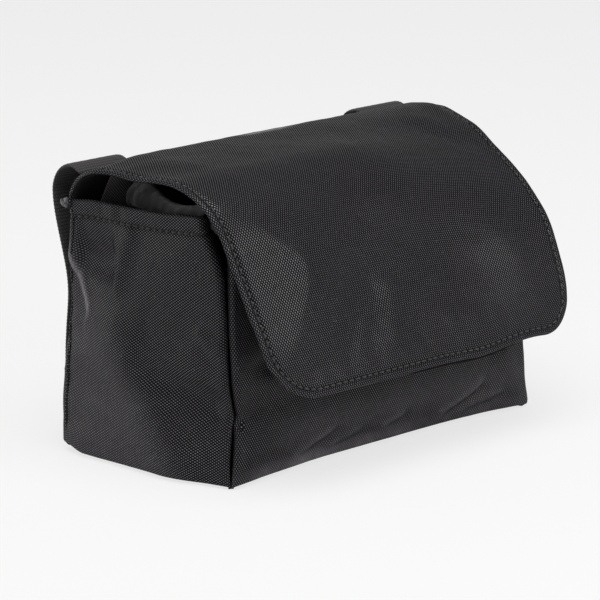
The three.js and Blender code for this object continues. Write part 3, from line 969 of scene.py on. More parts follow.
def back_seam(z, sign):
    x = half_width(z) - (back_pinch(z) if sign < 0 else 0.5 * back_pinch(z))
    return np.stack([sign * x, np.full_like(z, HALF_DEPTH)], -1)


# A panel rolls in to its seam through three eighths of a turn. As shares of the roll's radius, these are
# where it starts before the seam, its length of cloth, how far it reaches along and how deep it ends.
ROLL_START, ROLL_ARC, ROLL_REACH, ROLL_DEPTH = 2.414, 2.356, 0.707, 1.707


def seam_radius(z):
    """How wide a panel rolls in to a front seam. The roll slackens towards the opening."""
    return 0.9 + smooth(0, 12, z) + 0.7 * smooth(66, 92, z)


def seam_depth(z):
    """How deep the two cloths of a front seam lie. Near the top they open into a pocket."""
    return ROLL_DEPTH * seam_radius(z) + 0.8 + 12.0 * smooth(64, 88, z)


def rolled(d, radius, depth, shift=0.0):
    """A panel turned in to its seam: place along it, depth and mm of cloth at a distance d on the net."""
    start = ROLL_START * radius + shift
    arc = ROLL_ARC * radius
    ahead, inward = depth + 0.25 - (start - ROLL_REACH * radius), depth - ROLL_DEPTH * radius
    straight = np.hypot(ahead, inward)
    t = np.clip(1 - d / start, 0, 1) * (arc + straight)
    turn = np.minimum(t, arc) / radius
    on = np.clip((t - arc) / np.maximum(straight, 1e-6), 0, 1)
    place = start - radius * np.sin(turn) + on * ahead
    deep = radius * (1 - np.cos(turn)) + on * inward
    turned_in = d < start
    run = np.where(turned_in, start - t, d)
    return np.where(turned_in, place, d), np.where(turned_in, deep, 0.0), run, start


def slump(x, y, z):
    """How far the cloth at the top of the right front corner sinks under the drooping flap."""
    return 13.5 * smooth(4, 84, x) * smooth(-4, -34, y) * smooth(52, FRONT_TOP, z)


LEFT_FOLDS = [
    # mm from the front seam and height, width, height
    ([(88, 89), (84.2, 78), (78.4, 69), (75.2, 62), (73.9, 57), (74.4, 52), (76, 46)], 1.4, 1.2),
    ([(87, 68), (82.5, 62), (81.5, 56), (82.5, 48)], 4.2, 0.8),
    ([(82, 80), (68, 78), (57, 79)], 9.0, -4.6),
    ([(48, 96), (52.5, 86), (56, 73), (60, 64)], 3.6, 1.3),
    ([(70, 68), (58, 62), (40, 58)], 9.0, 0.6),
    ([(74, 55), (57, 48), (45, 35), (35, 21), (25, 11), (10, 1)], 12.0, 3.6),
    ([(50, 46), (40, 40), (28, 36.5), (14, 33.5), (1, 30.5)], 5.5, -2.6),
    ([(24, 28), (19, 25), (15, 22)], 5.0, 0.9),
    ([(78, 36), (74, 22), (77, 8)], 7.0, -0.8),
    ([(1, 45), (9, 48), (16, 54)], 2.6, -0.7),
    ([(2, 53), (10, 55), (17, 60)], 2.6, 0.7),
    ([(56, 102), (55, 96)], 1.3, -0.55),
    ([(66, 102), (65, 95)], 1.5, -0.5),
    ([(60, 102), (59.5, 95)], 1.6, 0.4),
    ([(30, 92), (34, 70), (30, 54)], 12.0, 0.5),
]
# The line of a painted highlight along the sharp crease that leaves the left back edge.
BACK_CREASE_HIGHLIGHT = [
    (84.2, 101), (84.2, 90), (84.0, 79), (81.4, 73), (78.3, 68.6), (75.2, 62), (73.9, 57), (74.4, 53),
]
RIGHT_FOLDS = [
    ([(84, 92), (80, 78), (76, 66), (78, 52)], 2.4, 0.8),
    ([(14, 101), (10, 92), (7, 80), (2, 66)], 3.2, 1.2),
    ([(60, 84), (46, 76), (30, 72)], 8.0, -1.3),
    ([(70, 50), (52, 40), (34, 36)], 9.0, 0.9),
    ([(2, 30), (14, 24), (30, 24)], 4.5, -1.0),
    ([(40, 16), (56, 9), (72, 8)], 5.0, 0.7),
    ([(48, 102), (47, 95)], 1.4, -0.5),
]


def wall_steps(length, step, fine=EDGE_ROWS):
    """Rows of a net over a length, closer together at both ends."""
    ends = np.array(fine)
    count = max(2, int((length - 2 * ends[-1]) / step))
    middle = np.linspace(ends[-1], length - ends[-1], count + 1)[1:-1]
    return np.concatenate([ends, middle, length - ends[::-1]])


def hem_bulge(top):
    """A folded hem stands out and is drawn in along its stitches. top is mm below the upper edge."""
    return 0.28 * smooth(HEM + 0.6, HEM - 0.8, top) - 0.42 * bell(top, HEM, 0.8)


def hem_thickness(top):
    """A hem is more than twice as thick as one cloth."""
    return SHELL + 1.25 * smooth(HEM + 0.9, HEM - 0.4, top)


def foot_lift(z):
    """How far a wall is lifted off the floor, a little more where it turns in to the bottom seam."""
    return FLOOR_GAP + 0.35 * smooth(8, 0, z)


def make_side(name, sign, folds, seed):
    across = np.concatenate([
        np.linspace(0, 15.4, 40),
        np.linspace(16.3, SIDE_WIDTH - EDGE_ROWS[3], 71),
        SIDE_WIDTH - np.array(EDGE_ROWS[2::-1]),
    ])
    up = wall_steps(WALL_TOP, 0.95)
    d, z, faces = flat_net(across, up)
    flat = np.stack([d, z], 1)
    place, deep, run, start = rolled(d, seam_radius(z), seam_depth(z), 8.5 * smooth(78, 100, z))
    a = place / SIDE_WIDTH
    front, back = front_seam(z, sign), back_seam(z, sign)
    way = back - front
    plan = front + way * a[:, None]
    out = unit(np.stack([sign * way[:, 1], -sign * way[:, 0]], 1))
    a = np.clip(a, 0, 1)
    bulge = 3.4 * np.sin(math.pi * a**1.2) * smooth(40, 0, z)
    bulge += 2.2 * np.sin(math.pi * a) ** 0.8 * bell(z, 46, 34)
    bulge += creases(flat, folds)
    bulge += 0.5 * waves(flat, 26, seed) + 0.22 * waves(flat, 11, seed + 1) + 0.07 * waves(flat, 5, seed + 2)
    top = WALL_TOP - z
    bulge += hem_bulge(top) - 0.14 * stitch_pull(d) * bell(top, HEM, 1.4)
    # The swell dies out at the seams, where the cloth turns in.
    bulge = bulge * smooth(0, start, d) - deep - edge_roll(SIDE_WIDTH - d, 1.6) - edge_roll(z, FLOOR_ROLL)
    lift = 1.6 * smooth(42, 6, d) - smooth(70, 84, d)
    tall = z * (1 + lift * smooth(70, WALL_TOP, z) / WALL_TOP)
    tall = tall - slump(plan[:, 0], plan[:, 1], z) + 2.4 * smooth(72, 84, d) * smooth(12, 0, z)
    points = np.column_stack([plan + out * bulge[:, None], tall + foot_lift(z)])
    # Painted highlight on the ridge of the first fold, and painted shade in the groove along the hem
    # stitches.
    rub_and_light = np.clip(creases(flat, folds[:1]), 0, 2) * 0.08 - 0.75 * bell(top, HEM, 0.7)
    if sign < 0:
        # A painted highlight along the back crease.
        rub_and_light += crease(flat, BACK_CREASE_HIGHLIGHT, 0.75, 0.6, 0.12)
        # Painted light on the lower part of the side towards its back edge.
        rub_and_light += 0.095 * smooth(-6, 14, 0.80 * (d - 45) - 0.60 * (z - 35))
    normals = np.column_stack([out, 0 * z])
    cloth = np.stack([z, run + 200 * sign], 1)
    piece = thick_sheet(name, faces, points, hem_thickness(top), cloth, wall_nylon_painted_shade, out=normals, wear_and_light=rub_and_light,
                        rim_steps=4)
    # Hem stitches lie on the same net.
    shape = (len(up), len(across), 3)
    row = int(np.argmin(np.abs(up - (WALL_TOP - HEM))))
    keep = slice(int(np.searchsorted(across, 15.0)), -2)
    normal = normals.reshape(shape)[row][keep]
    return piece, stitch_parts(points.reshape(shape)[row][keep] + HEM_STITCH_OUT * normal, normal)


FRONT_FOLDS = [
    ([(-50, 4.5), (-40, 9), (-26, 14.8)], 2.1, 1.1),
    ([(-46, 3.4), (-36, 7.2), (-22, 13)], 2.0, -1.0),
    ([(-33, 5), (-22, 7.4), (-12, 10.4)], 1.9, 0.9),
    ([(-29, 3.8), (-18, 6), (-8, 8.8)], 1.9, -0.8),
    ([(-4, 7.4), (4, 10), (11, 12.4)], 2.0, 1.0),
    ([(0, 5.8), (8, 8.2), (15, 10.6)], 2.0, -0.9),
    ([(27, 4.8), (38, 9), (48, 13.6), (56, 18.5)], 2.4, 1.4),
    ([(31, 3.2), (42, 7), (52, 11.4), (60, 16)], 2.3, -1.3),
    ([(36, 4), (52, 7), (68, 10)], 1.9, 1.0),
    ([(42, 2.6), (56, 4.8), (70, 7.6)], 1.9, -0.9),
    ([(62, 28), (70, 15), (78, 3)], 6.0, 1.3),
    ([(-78, 24.2), (-75.4, 23.6), (-72.6, 23)], 1.9, -1.9),
    ([(-76, 27), (-66, 27), (-54, 25)], 4.0, -0.6),
    ([(-77, 34), (-64, 35), (-44, 33)], 5.0, 0.6),
    ([(-74, 12), (-62, 13), (-50, 11)], 4.0, 0.7),
    ([(-70, 60), (-40, 50), (-10, 52)], 10.0, 0.7),
    ([(20, 60), (44, 48), (66, 50)], 10.0, -0.7),
]


def front_foot(x):
    """How much the front's bottom edge is drawn in and lifted: 1 at the middle, 0 at the corners."""
    return np.clip(1 - (np.abs(x) / 80.0) ** 2.6, 0, 1)


def front_face(x, z, share):
    """Y and Z of the front panel at x and height z."""
    flat = np.stack([x, z], 1)
    foot = front_foot(x)
    y = front_plane(z) + 3.0 * foot * smooth(16, 0, z)
    bulge = 2.6 * np.sin(math.pi * share) ** 0.8 * bell(z, 42, 30)
    bulge += creases(flat, FRONT_FOLDS) + 0.45 * waves(flat, 28, 41) + 0.22 * waves(flat, 12, 42)
    bulge += 0.08 * waves(flat, 5, 43)
    # The cloth is drawn in below the flap's edge, most at the left.
    bulge -= 2.4 * smooth(60, -50, x) * bell(z, 31, 9) * smooth(0, 0.06, share)
    # It is pressed in behind the closure, which leaves room for the flap to be pushed shut.
    bulge -= 3.2 * smooth(37, 47, z) * smooth(92, 76, z) * smooth(74, 54, np.abs(x))
    return y - bulge, z + foot * smooth(14, 0, z) - slump(x, y, z)


def make_front():
    ends = np.linspace(0, 8, 24)
    across = np.concatenate([ends, np.linspace(9, FRONT_WIDTH - 9, 126), FRONT_WIDTH - ends[::-1]])
    up = wall_steps(FRONT_TOP, 1.1)
    d, z, faces = flat_net(across, up)
    from_left = rolled(d, seam_radius(z), seam_depth(z))
    from_right = rolled(FRONT_WIDTH - d, seam_radius(z), seam_depth(z))
    first = d < FRONT_WIDTH / 2
    share = np.where(first, from_left[0], FRONT_WIDTH - from_right[0]) / FRONT_WIDTH
    deep = np.where(first, from_left[1], from_right[1])
    run = np.where(first, from_left[2], FRONT_WIDTH - from_right[2])
    left, right = left_seam_x(z), right_seam_x(z)
    x = left + (right - left) * share
    y, tall = front_face(x, z, np.clip(share, 0, 1))
    top = FRONT_TOP - z
    bulge = hem_bulge(top) - deep - edge_roll(z, FLOOR_ROLL)
    points = np.stack([x, y - bulge, tall + foot_lift(z)], 1)
    flat = np.stack([x, z], 1)
    # Painted highlights on the ridges of the lower wrinkles.
    rub_and_light = 0.10 * np.clip(creases(flat, FRONT_FOLDS[:10]), 0, 2)
    # Painted light over the lower front, away from the left corner.
    rub_and_light += 0.08 * smooth(-74, -40, x) * smooth(30, 14, z)
    # A painted reflection of the floor along the bottom edge, strongest left of the middle.
    pale_tone = 0.13 + 0.42 * smooth(-80, -58, x) * smooth(34, -10, x)
    rub_and_light += pale_tone * smooth(8, 0.5, z) * (0.65 + 0.35 * waves(flat, 11, 44))
    piece = thick_sheet("front_panel", faces, points, hem_thickness(top), np.stack([-run - 400, z], 1),
                        wall_nylon_painted_shade, out=FORWARDS, wear_and_light=rub_and_light, rim_steps=4)
    row = int(np.argmin(np.abs(up - (FRONT_TOP - HEM))))
    line = points.reshape(len(up), len(across), 3)[row][26:-26] + HEM_STITCH_OUT * FORWARDS
    return piece, stitch_parts(line, [0.0, -1.0, 0.07])


def make_back(columns):
    between = np.linspace(3, STRIP_FROM - 1.4, 70)
    rows = np.concatenate([EDGE_ROWS, between, [STRIP_FROM - JOIN_ROW, STRIP_FROM]])
    c, s, faces = flat_net(columns, rows)
    free = smooth(STRIP_FROM, 90, s)
    pinch = 0.5 * back_pinch(s) * (1 + (c < 0)) * np.abs(c) ** 6
    x = c * half_width(s) - np.sign(c) * pinch * free
    flat = np.stack([x, s], 1)
    gap = half_width(s) - np.abs(x)
    dent = -0.5 * free * swells(flat, 24, 61) - 0.9 * free * bell(s, 45, 8) * np.cos(x / 90) ** 2
    dent -= free * 0.25 * swells(flat, 9, 62)
    closed = smooth(SHOULDER_BASE + 1, SHOULDER_BASE - 3, s)
    dent -= edge_roll(gap, 1.8) * closed + edge_roll(s, FLOOR_ROLL)
    # Towards the shoulder it takes on the flap's swells and its sewn rim.
    rim = rim_shape(gap, STRIP_TO - s) * (1 - closed)
    rise = dent + (flap_swell(x, s) + rim) * (1 - free)
    face = flap_middle(x, s) + flap_normal(x, s) * rise[:, None]
    face[:, 2] += FLOOR_GAP * free + 2.4 * smooth(0.9, 1, np.abs(c)) * smooth(12, 0, s)
    return thick_sheet("back_panel", faces, face, SHELL, np.stack([x + 800, s], 1), shell_nylon,
                       out=BACKWARDS, rim_steps=4)


def make_bottom():
    c, r, faces = flat_net(np.linspace(-1, 1, 90), np.linspace(0, 1, 48))
    zero = np.zeros_like(c)
    share = (c + 1) / 2
    front_x = left_seam_x(zero) + (right_seam_x(zero) - left_seam_x(zero)) * share
    front_y, _ = front_face(front_x, zero, share)
    side = 1.7 * np.sin(math.pi * r) * np.abs(c) ** 8 * np.sign(c)
    x = front_x + (c * half_width(zero) - front_x) * r + side
    y = front_y + (HALF_DEPTH - front_y) * r
    # Drawn in to the seam on every side.
    depth = 2 * HALF_DEPTH
    edge = np.minimum.reduce([(1 - np.abs(c)) * 88, r * depth, (1 - r) * depth])
    x = x * (1 - 2.2 / SEAM_HALF_WIDTH)
    y = y * (1 - 2.0 / HALF_DEPTH)
    flat = np.stack([x, y], 1)
    z = 0.25 + 1.3 * smooth(1.5, 0, edge) + 0.9 * smooth(4, 30, edge) * swells(flat, 30, 71)
    z += 0.3 * smooth(3, 12, edge) * swells(flat, 9, 72) + front_foot(x) * smooth(-26, -41, y)
    z += 2.2 * smooth(0.9, 1, np.abs(c)) * smooth(0.86, 1, r)
    return thick_sheet("bottom_panel", faces, np.stack([x, y, z], 1), SHELL, flat + [0, 900], shell_nylon,
                       out=-UPWARDS)


def quarter_bend(before, corner, after, steps):
    """Points of a curve that leaves one place for another and is drawn towards a corner on its way."""
    t = np.linspace(0, 1, steps)[:, None]
    return (1 - t) ** 2 * before + 2 * t * (1 - t) * corner + t * t * after


def make_pocket_lining():
    """The lining of the sides and the front in one run, from one back corner to the other."""
    up = np.concatenate([np.linspace(1.6, 10, 8), np.linspace(12, WALL_TOP - HEM + 2.2, 46)])
    inset, corner, columns = 3.2, 7.0, 170
    rows, runs = [], []
    for z in up:
        one = np.array([z])
        deep = float(seam_depth(z)) + 2.0
        turns = [
            back_seam(one, -1)[0] + [inset, -inset],
            front_seam(one, -1)[0] + [deep, deep],
            front_seam(one, 1)[0] + [-deep, deep],
            back_seam(one, 1)[0] + [-inset, -inset],
        ]
        path = [turns[:1]]
        for before, here, after in zip(turns[:-2], turns[1:-1], turns[2:]):
            start, end = here + unit(before - here) * corner, here + unit(after - here) * corner
            path.append(quarter_bend(start, here, end, 9))
        path = np.concatenate(path + [turns[3:]])
        run = run_along(path)
        runs.append(np.linspace(0, run[-1], columns))
        rows.append(np.column_stack([line_at(path, run, runs[-1]), np.full(columns, z)]))
    points = np.concatenate(rows)
    flat = np.stack([np.concatenate(runs), points[:, 2]], 1)
    faces = net_faces(np.arange(len(points)).reshape(len(up), columns))
    normals = vertex_normals(points, faces)
    if (normals[:, :2] * points[:, :2]).sum() < 0:
        normals = -normals
    soft = 0.9 * (waves(flat, 22, 81) - 1) + 0.5 * (waves(flat, 9, 82) - 1)
    points = points + normals * (soft * smooth(0, 6, flat[:, 1]))[:, None]
    points[:, 2] -= slump(points[:, 0], points[:, 1] - 4, points[:, 2])
    return thick_sheet("pocket_lining", faces, points, LINING, flat, lining_nylon, out=normals)


def make_bottom_lining():
    half, front, back = 90.0, -37.5, 38.5
    c, y, faces = flat_net(np.linspace(-half, half, 60), np.linspace(front, back, 34))
    x = c * (1 - 0.125 * (back - y) / (back - front))
    flat = np.stack([x, y], 1)
    z = 3.0 + 0.5 * waves(flat, 24, 91) + 0.3 * waves(flat, 10, 92)
    points = np.stack([x, y, z], 1)
    return thick_sheet("bottom_lining", faces, points, LINING, flat, lining_nylon, out=UPWARDS)


def make_back_lining(columns):
    rows = np.concatenate([np.linspace(2.4, STRIP_FROM - 1.5, 52), [STRIP_FROM - JOIN_ROW, STRIP_FROM]])
    c, s, faces = flat_net(columns, rows)
    inset = 1.0 + 2.2 * smooth(SHOULDER_BASE, 92, s)
    x = c * (half_width(s) - inset)
    flat = np.stack([x, s], 1)
    free = smooth(STRIP_FROM, 88, s)
    under = LINING_UNDER + free * (1.6 + 0.9 * swells(flat, 22, 95))
    swell = flap_swell(x, s) * (1 - free)
    face = flap_middle(x, s) + flap_normal(x, s) * (swell - under)[:, None]
    return thick_sheet("back_lining", faces, face, LINING, flat, lining_nylon, out=BACKWARDS)


def make_lining_roll():
    """A slack roll of brushed lining that slumps across the left end of the opening."""
    path = np.array([
        (-71.0, 25.4, 100.8), (-70.5, 22.0, 101.8), (-70, 18.2, 101.6), (-70.5, 12.6, 100.2),
        (-71.5, 6, 98.9), (-72, -2, 98.4), (-71, -10, 98.9), (-69, -18, 99.2), (-66, -25, 97.8),
    ])
    rings, sides = 90, 40
    t = np.linspace(0, len(path) - 1, rings)
    line = np.stack([eased(np.arange(len(path)), path[:, k], 0.5)(t) for k in range(3)], 1)
    along = t / (len(path) - 1)
    wide = 5.6 - 1.6 * bell(along, 0.5, 0.2) - 1.2 * smooth(0.04, 0, along) + 0.8 * along
    tall = 5.2 - 1.1 * bell(along, 0.5, 0.22) - 0.8 * smooth(0.04, 0, along) - 1.4 * smooth(0.9, 1, along)
    way = unit(np.gradient(line, axis=0))
    side = unit(np.cross(way, UPWARDS))
    up = np.cross(side, way)
    turn = np.tile(np.linspace(0, 2 * math.pi, sides, endpoint=False), rings)
    flat = np.stack([np.repeat(along * 70, sides), turn * 7], 1)
    rough = 1 + 0.10 * waves(flat, 9, 101) + 0.05 * waves(flat, 3, 102)
    flute = 1 + 0.10 * np.cos(3 * turn + 0.08 * flat[:, 0])
    ring = np.repeat(side * wide[:, None], sides, 0) * np.cos(turn)[:, None]
    ring += np.repeat(up * tall[:, None], sides, 0) * np.sin(turn)[:, None]
    points = np.repeat(line, sides, 0) + ring * (rough * flute)[:, None]
    faces = ring_faces(rings, sides) + ring_ends(rings, sides)
    return make_object("lining_roll", points, faces, fleece_finish, flat)


def make_lining_fold():
    """A slack corner of the back lining that hangs forward at the left end of the opening, coloured with
    painted light.
    """
    edge = np.array([
        (-81, 36.5, 94.2), (-79.4, 36.5, 97.1), (-77.7, 36, 100.9), (-76.9, 34.5, 105), (-76.6, 33, 108),
    ])
    right, rows, cols = -54, 26, 30
    left = line_at(edge, np.linspace(0, 1, len(edge)), np.linspace(0, 1, rows))
    share, row, faces = flat_net(np.linspace(0, 1, cols), np.arange(rows))
    points = left[row]
    points[:, 0] += (right - points[:, 0]) * share
    flat = points[:, [0, 2]]
    points[:, 1] += 0.5 * waves(flat, 9, 121) - 1.2 * np.sin(math.pi * share)
    return thick_sheet("lining_fold", faces, points, LINING, flat, slack_nylon_painted_light, out=FORWARDS)


# Webbing, snaps and tapes


def ribbed_band(name, line, normals, across, thickness):
    """A flat woven band along a line, with ribs across it on both faces and rounded edges."""
    run = run_along(line)
    ribs = int(run[-1] / RIB)
    at = np.linspace(0, run[-1], 4 * ribs + 1)
    middle = line_at(line, run, at)
    normals = unit(line_at(np.broadcast_to(normals, line.shape), run, at))
    fine = np.array([0, 0.35, 0.9])
    cols = np.concatenate([fine, np.linspace(1.6, WEBBING - 1.6, 15), WEBBING - fine[::-1]]) - WEBBING / 2
    c, i, faces = flat_net(cols, np.arange(len(at)))
    edge = WEBBING / 2 - np.abs(c)
    rise = 0.13 * (0.5 - 0.5 * np.cos(2 * math.pi * at[i] / (run[-1] / ribs))) - 0.13
    rise = rise - 0.22 * smooth(0.9, 0, edge) + 0.05 * np.cos(2 * math.pi * c / 4.2)
    outer = middle[i] + np.asarray(across) * c[:, None] + normals[i] * (thickness / 2 + rise)[:, None]
    return thick_sheet(name, faces, outer, thickness + 2 * rise, np.stack([c, at[i]], 1), webbing_finish,
                       out=normals[i], wear_and_light=0.10 * bell(edge, 0, 0.5))


# Y and Z of a strap's middle, from its seam at the shoulder down to its tip.
STRAP_LINE = np.array([
    (36.12, 110.25), (42.55, 112.7), (48.9, 110.6), (52.8, 105.2), (53.2, 97.9), (49.9, 80.2), (47.9, 62),
    (47.9, 37.1), (47.9, 11.5),
])


def spline(points, count):
    """A rounded line through points, as evenly spaced points."""
    p = np.concatenate([[2 * points[0] - points[1]], points, [2 * points[-1] - points[-2]]])
    t = np.linspace(0, 1, 30, endpoint=False)[:, None]
    stretches = []
    for a, b, c, d in zip(p[:-3], p[1:-2], p[2:-1], p[3:]):
        curve = (2 * a - 5 * b + 4 * c - d) * t**2 + (3 * b - a - 3 * c + d) * t**3
        stretches.append(0.5 * (2 * b + (c - a) * t + curve))
    line = np.concatenate(stretches + [points[-1:]])
    run = run_along(line)
    return line_at(line, run, np.linspace(0, run[-1], count))


def make_strap(name, x, sway, hug, sag):
    """A strap at x. sway is how far it bows aside, hug and sag how far it lies closer and lower."""
    count = 200
    flat = spline(STRAP_LINE, count)
    share = np.linspace(0, 1, count)
    flat[:, 1] -= sag * smooth(0, 0.07, share) * smooth(0.4, 0.2, share)
    # The strap lies close to the back where it crosses the upper row.
    flat[:, 0] -= hug * bell(flat[:, 1], 66, 18)
    bow = np.sin(math.pi * np.clip((share - 0.12) / 0.6, 0, 1))
    line = np.column_stack([x + sway * bow, flat])
    way = unit(np.gradient(flat, axis=0))
    normals = np.stack([np.zeros(count), -way[:, 1], way[:, 0]], 1)
    piece = ribbed_band(name, line[2:], normals[2:], (1, 0, 0), STRAP_THICK)
    tip = np.array([x, flat[-6, 0] + STRAP_TACK_OUT, flat[-6, 1]])
    tack = np.linspace(-STRAP_TACK_HALF, STRAP_TACK_HALF, 30)[:, None] * [1, 0, 0]
    parts = []
    for rise in (0.0, STRAP_TACK_GAP):
        parts += stitch_parts(tip + rise * UPWARDS + tack, BACKWARDS, pitch=3.0, radius=0.26)
    return piece, thread_piece(name + "_stitches", parts, thread_finish)


def make_row(name, low):
    z = low + WEBBING / 2
    reach = float(half_width(np.array([z]))[0]) - ROW_SHORT
    # The pinched back edge draws the upper row's left end in.
    ends = (-reach + 3.0 * float(smooth(40, 60, low)), reach)
    xs = np.linspace(*ends, 60)
    line = np.stack([xs, np.full(60, HALF_DEPTH + ROW_OUT), np.full(60, z)], 1)
    piece = ribbed_band(name, line, BACKWARDS, (0, 0, 1), ROW_THICK)
    zs = np.linspace(low + 2, low + WEBBING - 2, 30)
    parts = []
    for x in (ends[0] + ROW_TACK_IN, -STRAP_SPACING / 2, STRAP_SPACING / 2, ends[1] - ROW_TACK_IN):
        for aside in (-ROW_TACK_HALF, ROW_TACK_HALF):
            row = np.stack([np.full(30, x + aside), np.full(30, HALF_DEPTH + ROW_TACK_OUT), zs], 1)
            parts += stitch_parts(row, BACKWARDS, pitch=2.3, radius=0.24)
    return piece, parts


def turned(name, profile, x, z, wear_radius, sides=48):
    """A round metal piece turned about a line along Y: profile holds radius and Y."""
    turn = np.linspace(0, 2 * math.pi, sides, endpoint=False)
    closed = np.allclose(profile[0], profile[-1])
    rings = profile[:-1] if closed else profile
    points, cloth, rub_and_light = [], [], []
    for r, y in rings:
        points.append(np.stack([x + r * np.cos(turn), np.full(sides, y), z + r * np.sin(turn)], 1))
        cloth.append(np.stack([turn * 4, np.full(sides, y)], 1))
        rub_and_light.append(np.full(sides, 0.5 if abs(r - wear_radius) < 0.35 else 0.05))
    faces = ring_faces(len(profile), sides)
    if closed:
        faces = [[i % (len(rings) * sides) for i in face] for face in faces]
    else:
        faces += ring_ends(len(profile), sides)
    points, cloth, rub_and_light = map(np.concatenate, (points, cloth, rub_and_light))
    piece = make_object(name, points, faces, snap_metal, cloth, rub_and_light)
    work = bmesh.new()
    work.from_mesh(piece.data)
    bmesh.ops.remove_doubles(work, verts=work.verts, dist=1e-7)
    bmesh.ops.recalc_face_normals(work, faces=work.faces)
    work.to_mesh(piece.data)
    work.free()
    return piece


def rounded(points, radius, steps=4):
    """Cuts the corners of a profile round."""
    out = [points[0]]
    for a, b, c in zip(points[:-2], points[1:-1], points[2:]):
        a, b, c = map(np.array, (a, b, c))
        reach = min(radius, np.linalg.norm(a - b) * 0.45, np.linalg.norm(c - b) * 0.45)
        out += list(quarter_bend(b + unit(a - b) * reach, b, b + unit(c - b) * reach, steps))
    return out + [points[-1]]


# Radius and Y along each part of a snap. A profile that starts on the axis starts at this radius.
AXIS = 1e-4
CAP_DOME = [(6.0 * math.cos(t), 49.35 + 1.1 * math.sin(t)) for t in np.linspace(0.25, 1.0, 6)]
SNAP_CAP = [
    (AXIS, 47.1), (1.5, 47.1), (1.5, 48.9), (6.0, 48.9), (6.0, 49.35), *CAP_DOME,
    (2.9, 50.22), (2.5, 50.12), (2.1, 50.22), (1.2, 50.42), (AXIS, 50.48),
]
SNAP_SOCKET = [(3.3, 44.9), (4.6, 44.9), (5.0, 45.3), (5.0, 46.9), (3.3, 46.9), (3.3, 44.9)]
SNAP_STUD = [
    (AXIS, 46.0), (1.8, 46.0), (1.8, 43.8), (5.0, 43.8), (5.0, 44.6), (2.5, 44.6), (2.5, 45.3), (2.8, 45.9),
    (2.8, 46.4), (2.3, 46.8), (AXIS, 46.8),
]
SNAP_POST = [(AXIS, 45.9), (1.5, 45.9), (1.5, 39.8), (4.5, 39.8), (4.5, 39.2), (3.9, 39.0), (AXIS, 39.0)]


def make_snap(side, x):
    """Cap and socket ride on the strap, stud and post on the back."""
    strap = f"strap_{side}"
    for label, profile, corner, wear_radius, body in (
        ("cap", SNAP_CAP, 0.18, 5.7, strap),
        ("socket", SNAP_SOCKET, 0.2, 4.9, strap),
        ("stud", SNAP_STUD, 0.15, 2.8, "pouch"),
        ("post", SNAP_POST, 0.15, 4.5, "pouch"),
    ):
        node = f"snap_{label}_{side}"
        piece = turned(node, rounded(profile, corner), x, SNAP_HEIGHT, wear_radius)
        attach(piece, body)
        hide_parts(node)


def make_tape(name, place, normal_at, finish):
    """A sewn tape whose face is rough with hooks or loops, and the stitches along its four sides."""
    fine = (0, 0.3, 0.8)
    c, r, faces = flat_net(wall_steps(TAPE_WIDTH, 1.1, fine), wall_steps(TAPE_HEIGHT, 1.1, fine))
    c = c - TAPE_WIDTH / 2
    flat = np.stack([c, r], 1)
    edge = np.minimum(TAPE_WIDTH / 2 - np.abs(c), np.minimum(r, TAPE_HEIGHT - r))
    rise = TAPE_NUBS * swells(flat, 1.6, 111) * smooth(0.8, 2.4, edge) - 0.25 * bell(edge, TAPE_INSET, 0.5)
    points = place(c, r) + normal_at(c, r) * rise[:, None]
    piece = thick_sheet(name, faces, points, TAPE_THICK + rise, flat, finish, out=normal_at(c, r))
    w, h = TAPE_WIDTH / 2 - TAPE_INSET, TAPE_HEIGHT - TAPE_INSET
    corners = np.array([(-w, TAPE_INSET), (w, TAPE_INSET), (w, h), (-w, h), (-w, TAPE_INSET)])
    parts = []
    for a, b in zip(corners[:-1], corners[1:]):
        c, r = (a + (b - a) * np.linspace(0, 1, 40)[:, None]).T
        normals = normal_at(c, r)
        parts += stitch_parts(place(c, r) + 0.02 * normals, normals, pitch=2.8, radius=0.22)
    return piece, parts


def hook_place(c, r):
    return lining_face(c, FOLD_AT + HOOK_BELOW_FOLD + r, LINING_UNDER + LINING + HOOK_OFF_LINING + TAPE_THICK)


def hook_normal(c, r):
    return -flap_normal(c, FOLD_AT + HOOK_BELOW_FOLD + r)


def loop_place(c, r):
    y, tall = front_face(c, LOOP_FOOT + r, c / FRONT_WIDTH + 0.5)
    return np.stack([c, y - LOOP_OFF_FRONT, tall], 1)


def loop_normal(c, r):
    return np.tile([0.0, -0.9975, 0.0705], (len(c), 1))


def make_tuft():
    """A frayed, pale thread end, balled up where the left strap is sewn in."""
    rng = np.random.RandomState(7)
    t = np.linspace(0, 1, 14)
    parts = []
    for _ in range(9):
        root = np.array([-92.2, 42.6, 99.2]) + rng.uniform(-1, 1, 3) * [0.9, 0.9, 1.9]
        turn = 2 * math.pi * (rng.uniform() + t * rng.uniform(0.5, 0.9))
        loop = np.stack([np.cos(turn), 0.7 * np.sin(turn + 0.8), 1.2 * np.sin(turn)], 1)
        parts.append(tube_mesh(root + loop * rng.uniform(0.5, 1.1), 0.30 * (1 - 0.4 * t)))
    return thread_piece("frayed_thread", parts, tuft_thread)


# Put the pouch together

flap, flap_columns = make_flap()
shoulder = make_shoulder(flap_columns)
flap_lining, shoulder_lining = make_flap_lining()
flap_topstitch, shoulder_topstitch = make_flap_stitches()
for piece in (flap, flap_lining, flap_topstitch):
    flap_blend(piece)
for piece in (shoulder, shoulder_lining, shoulder_topstitch):
    shoulder_blend(piece)

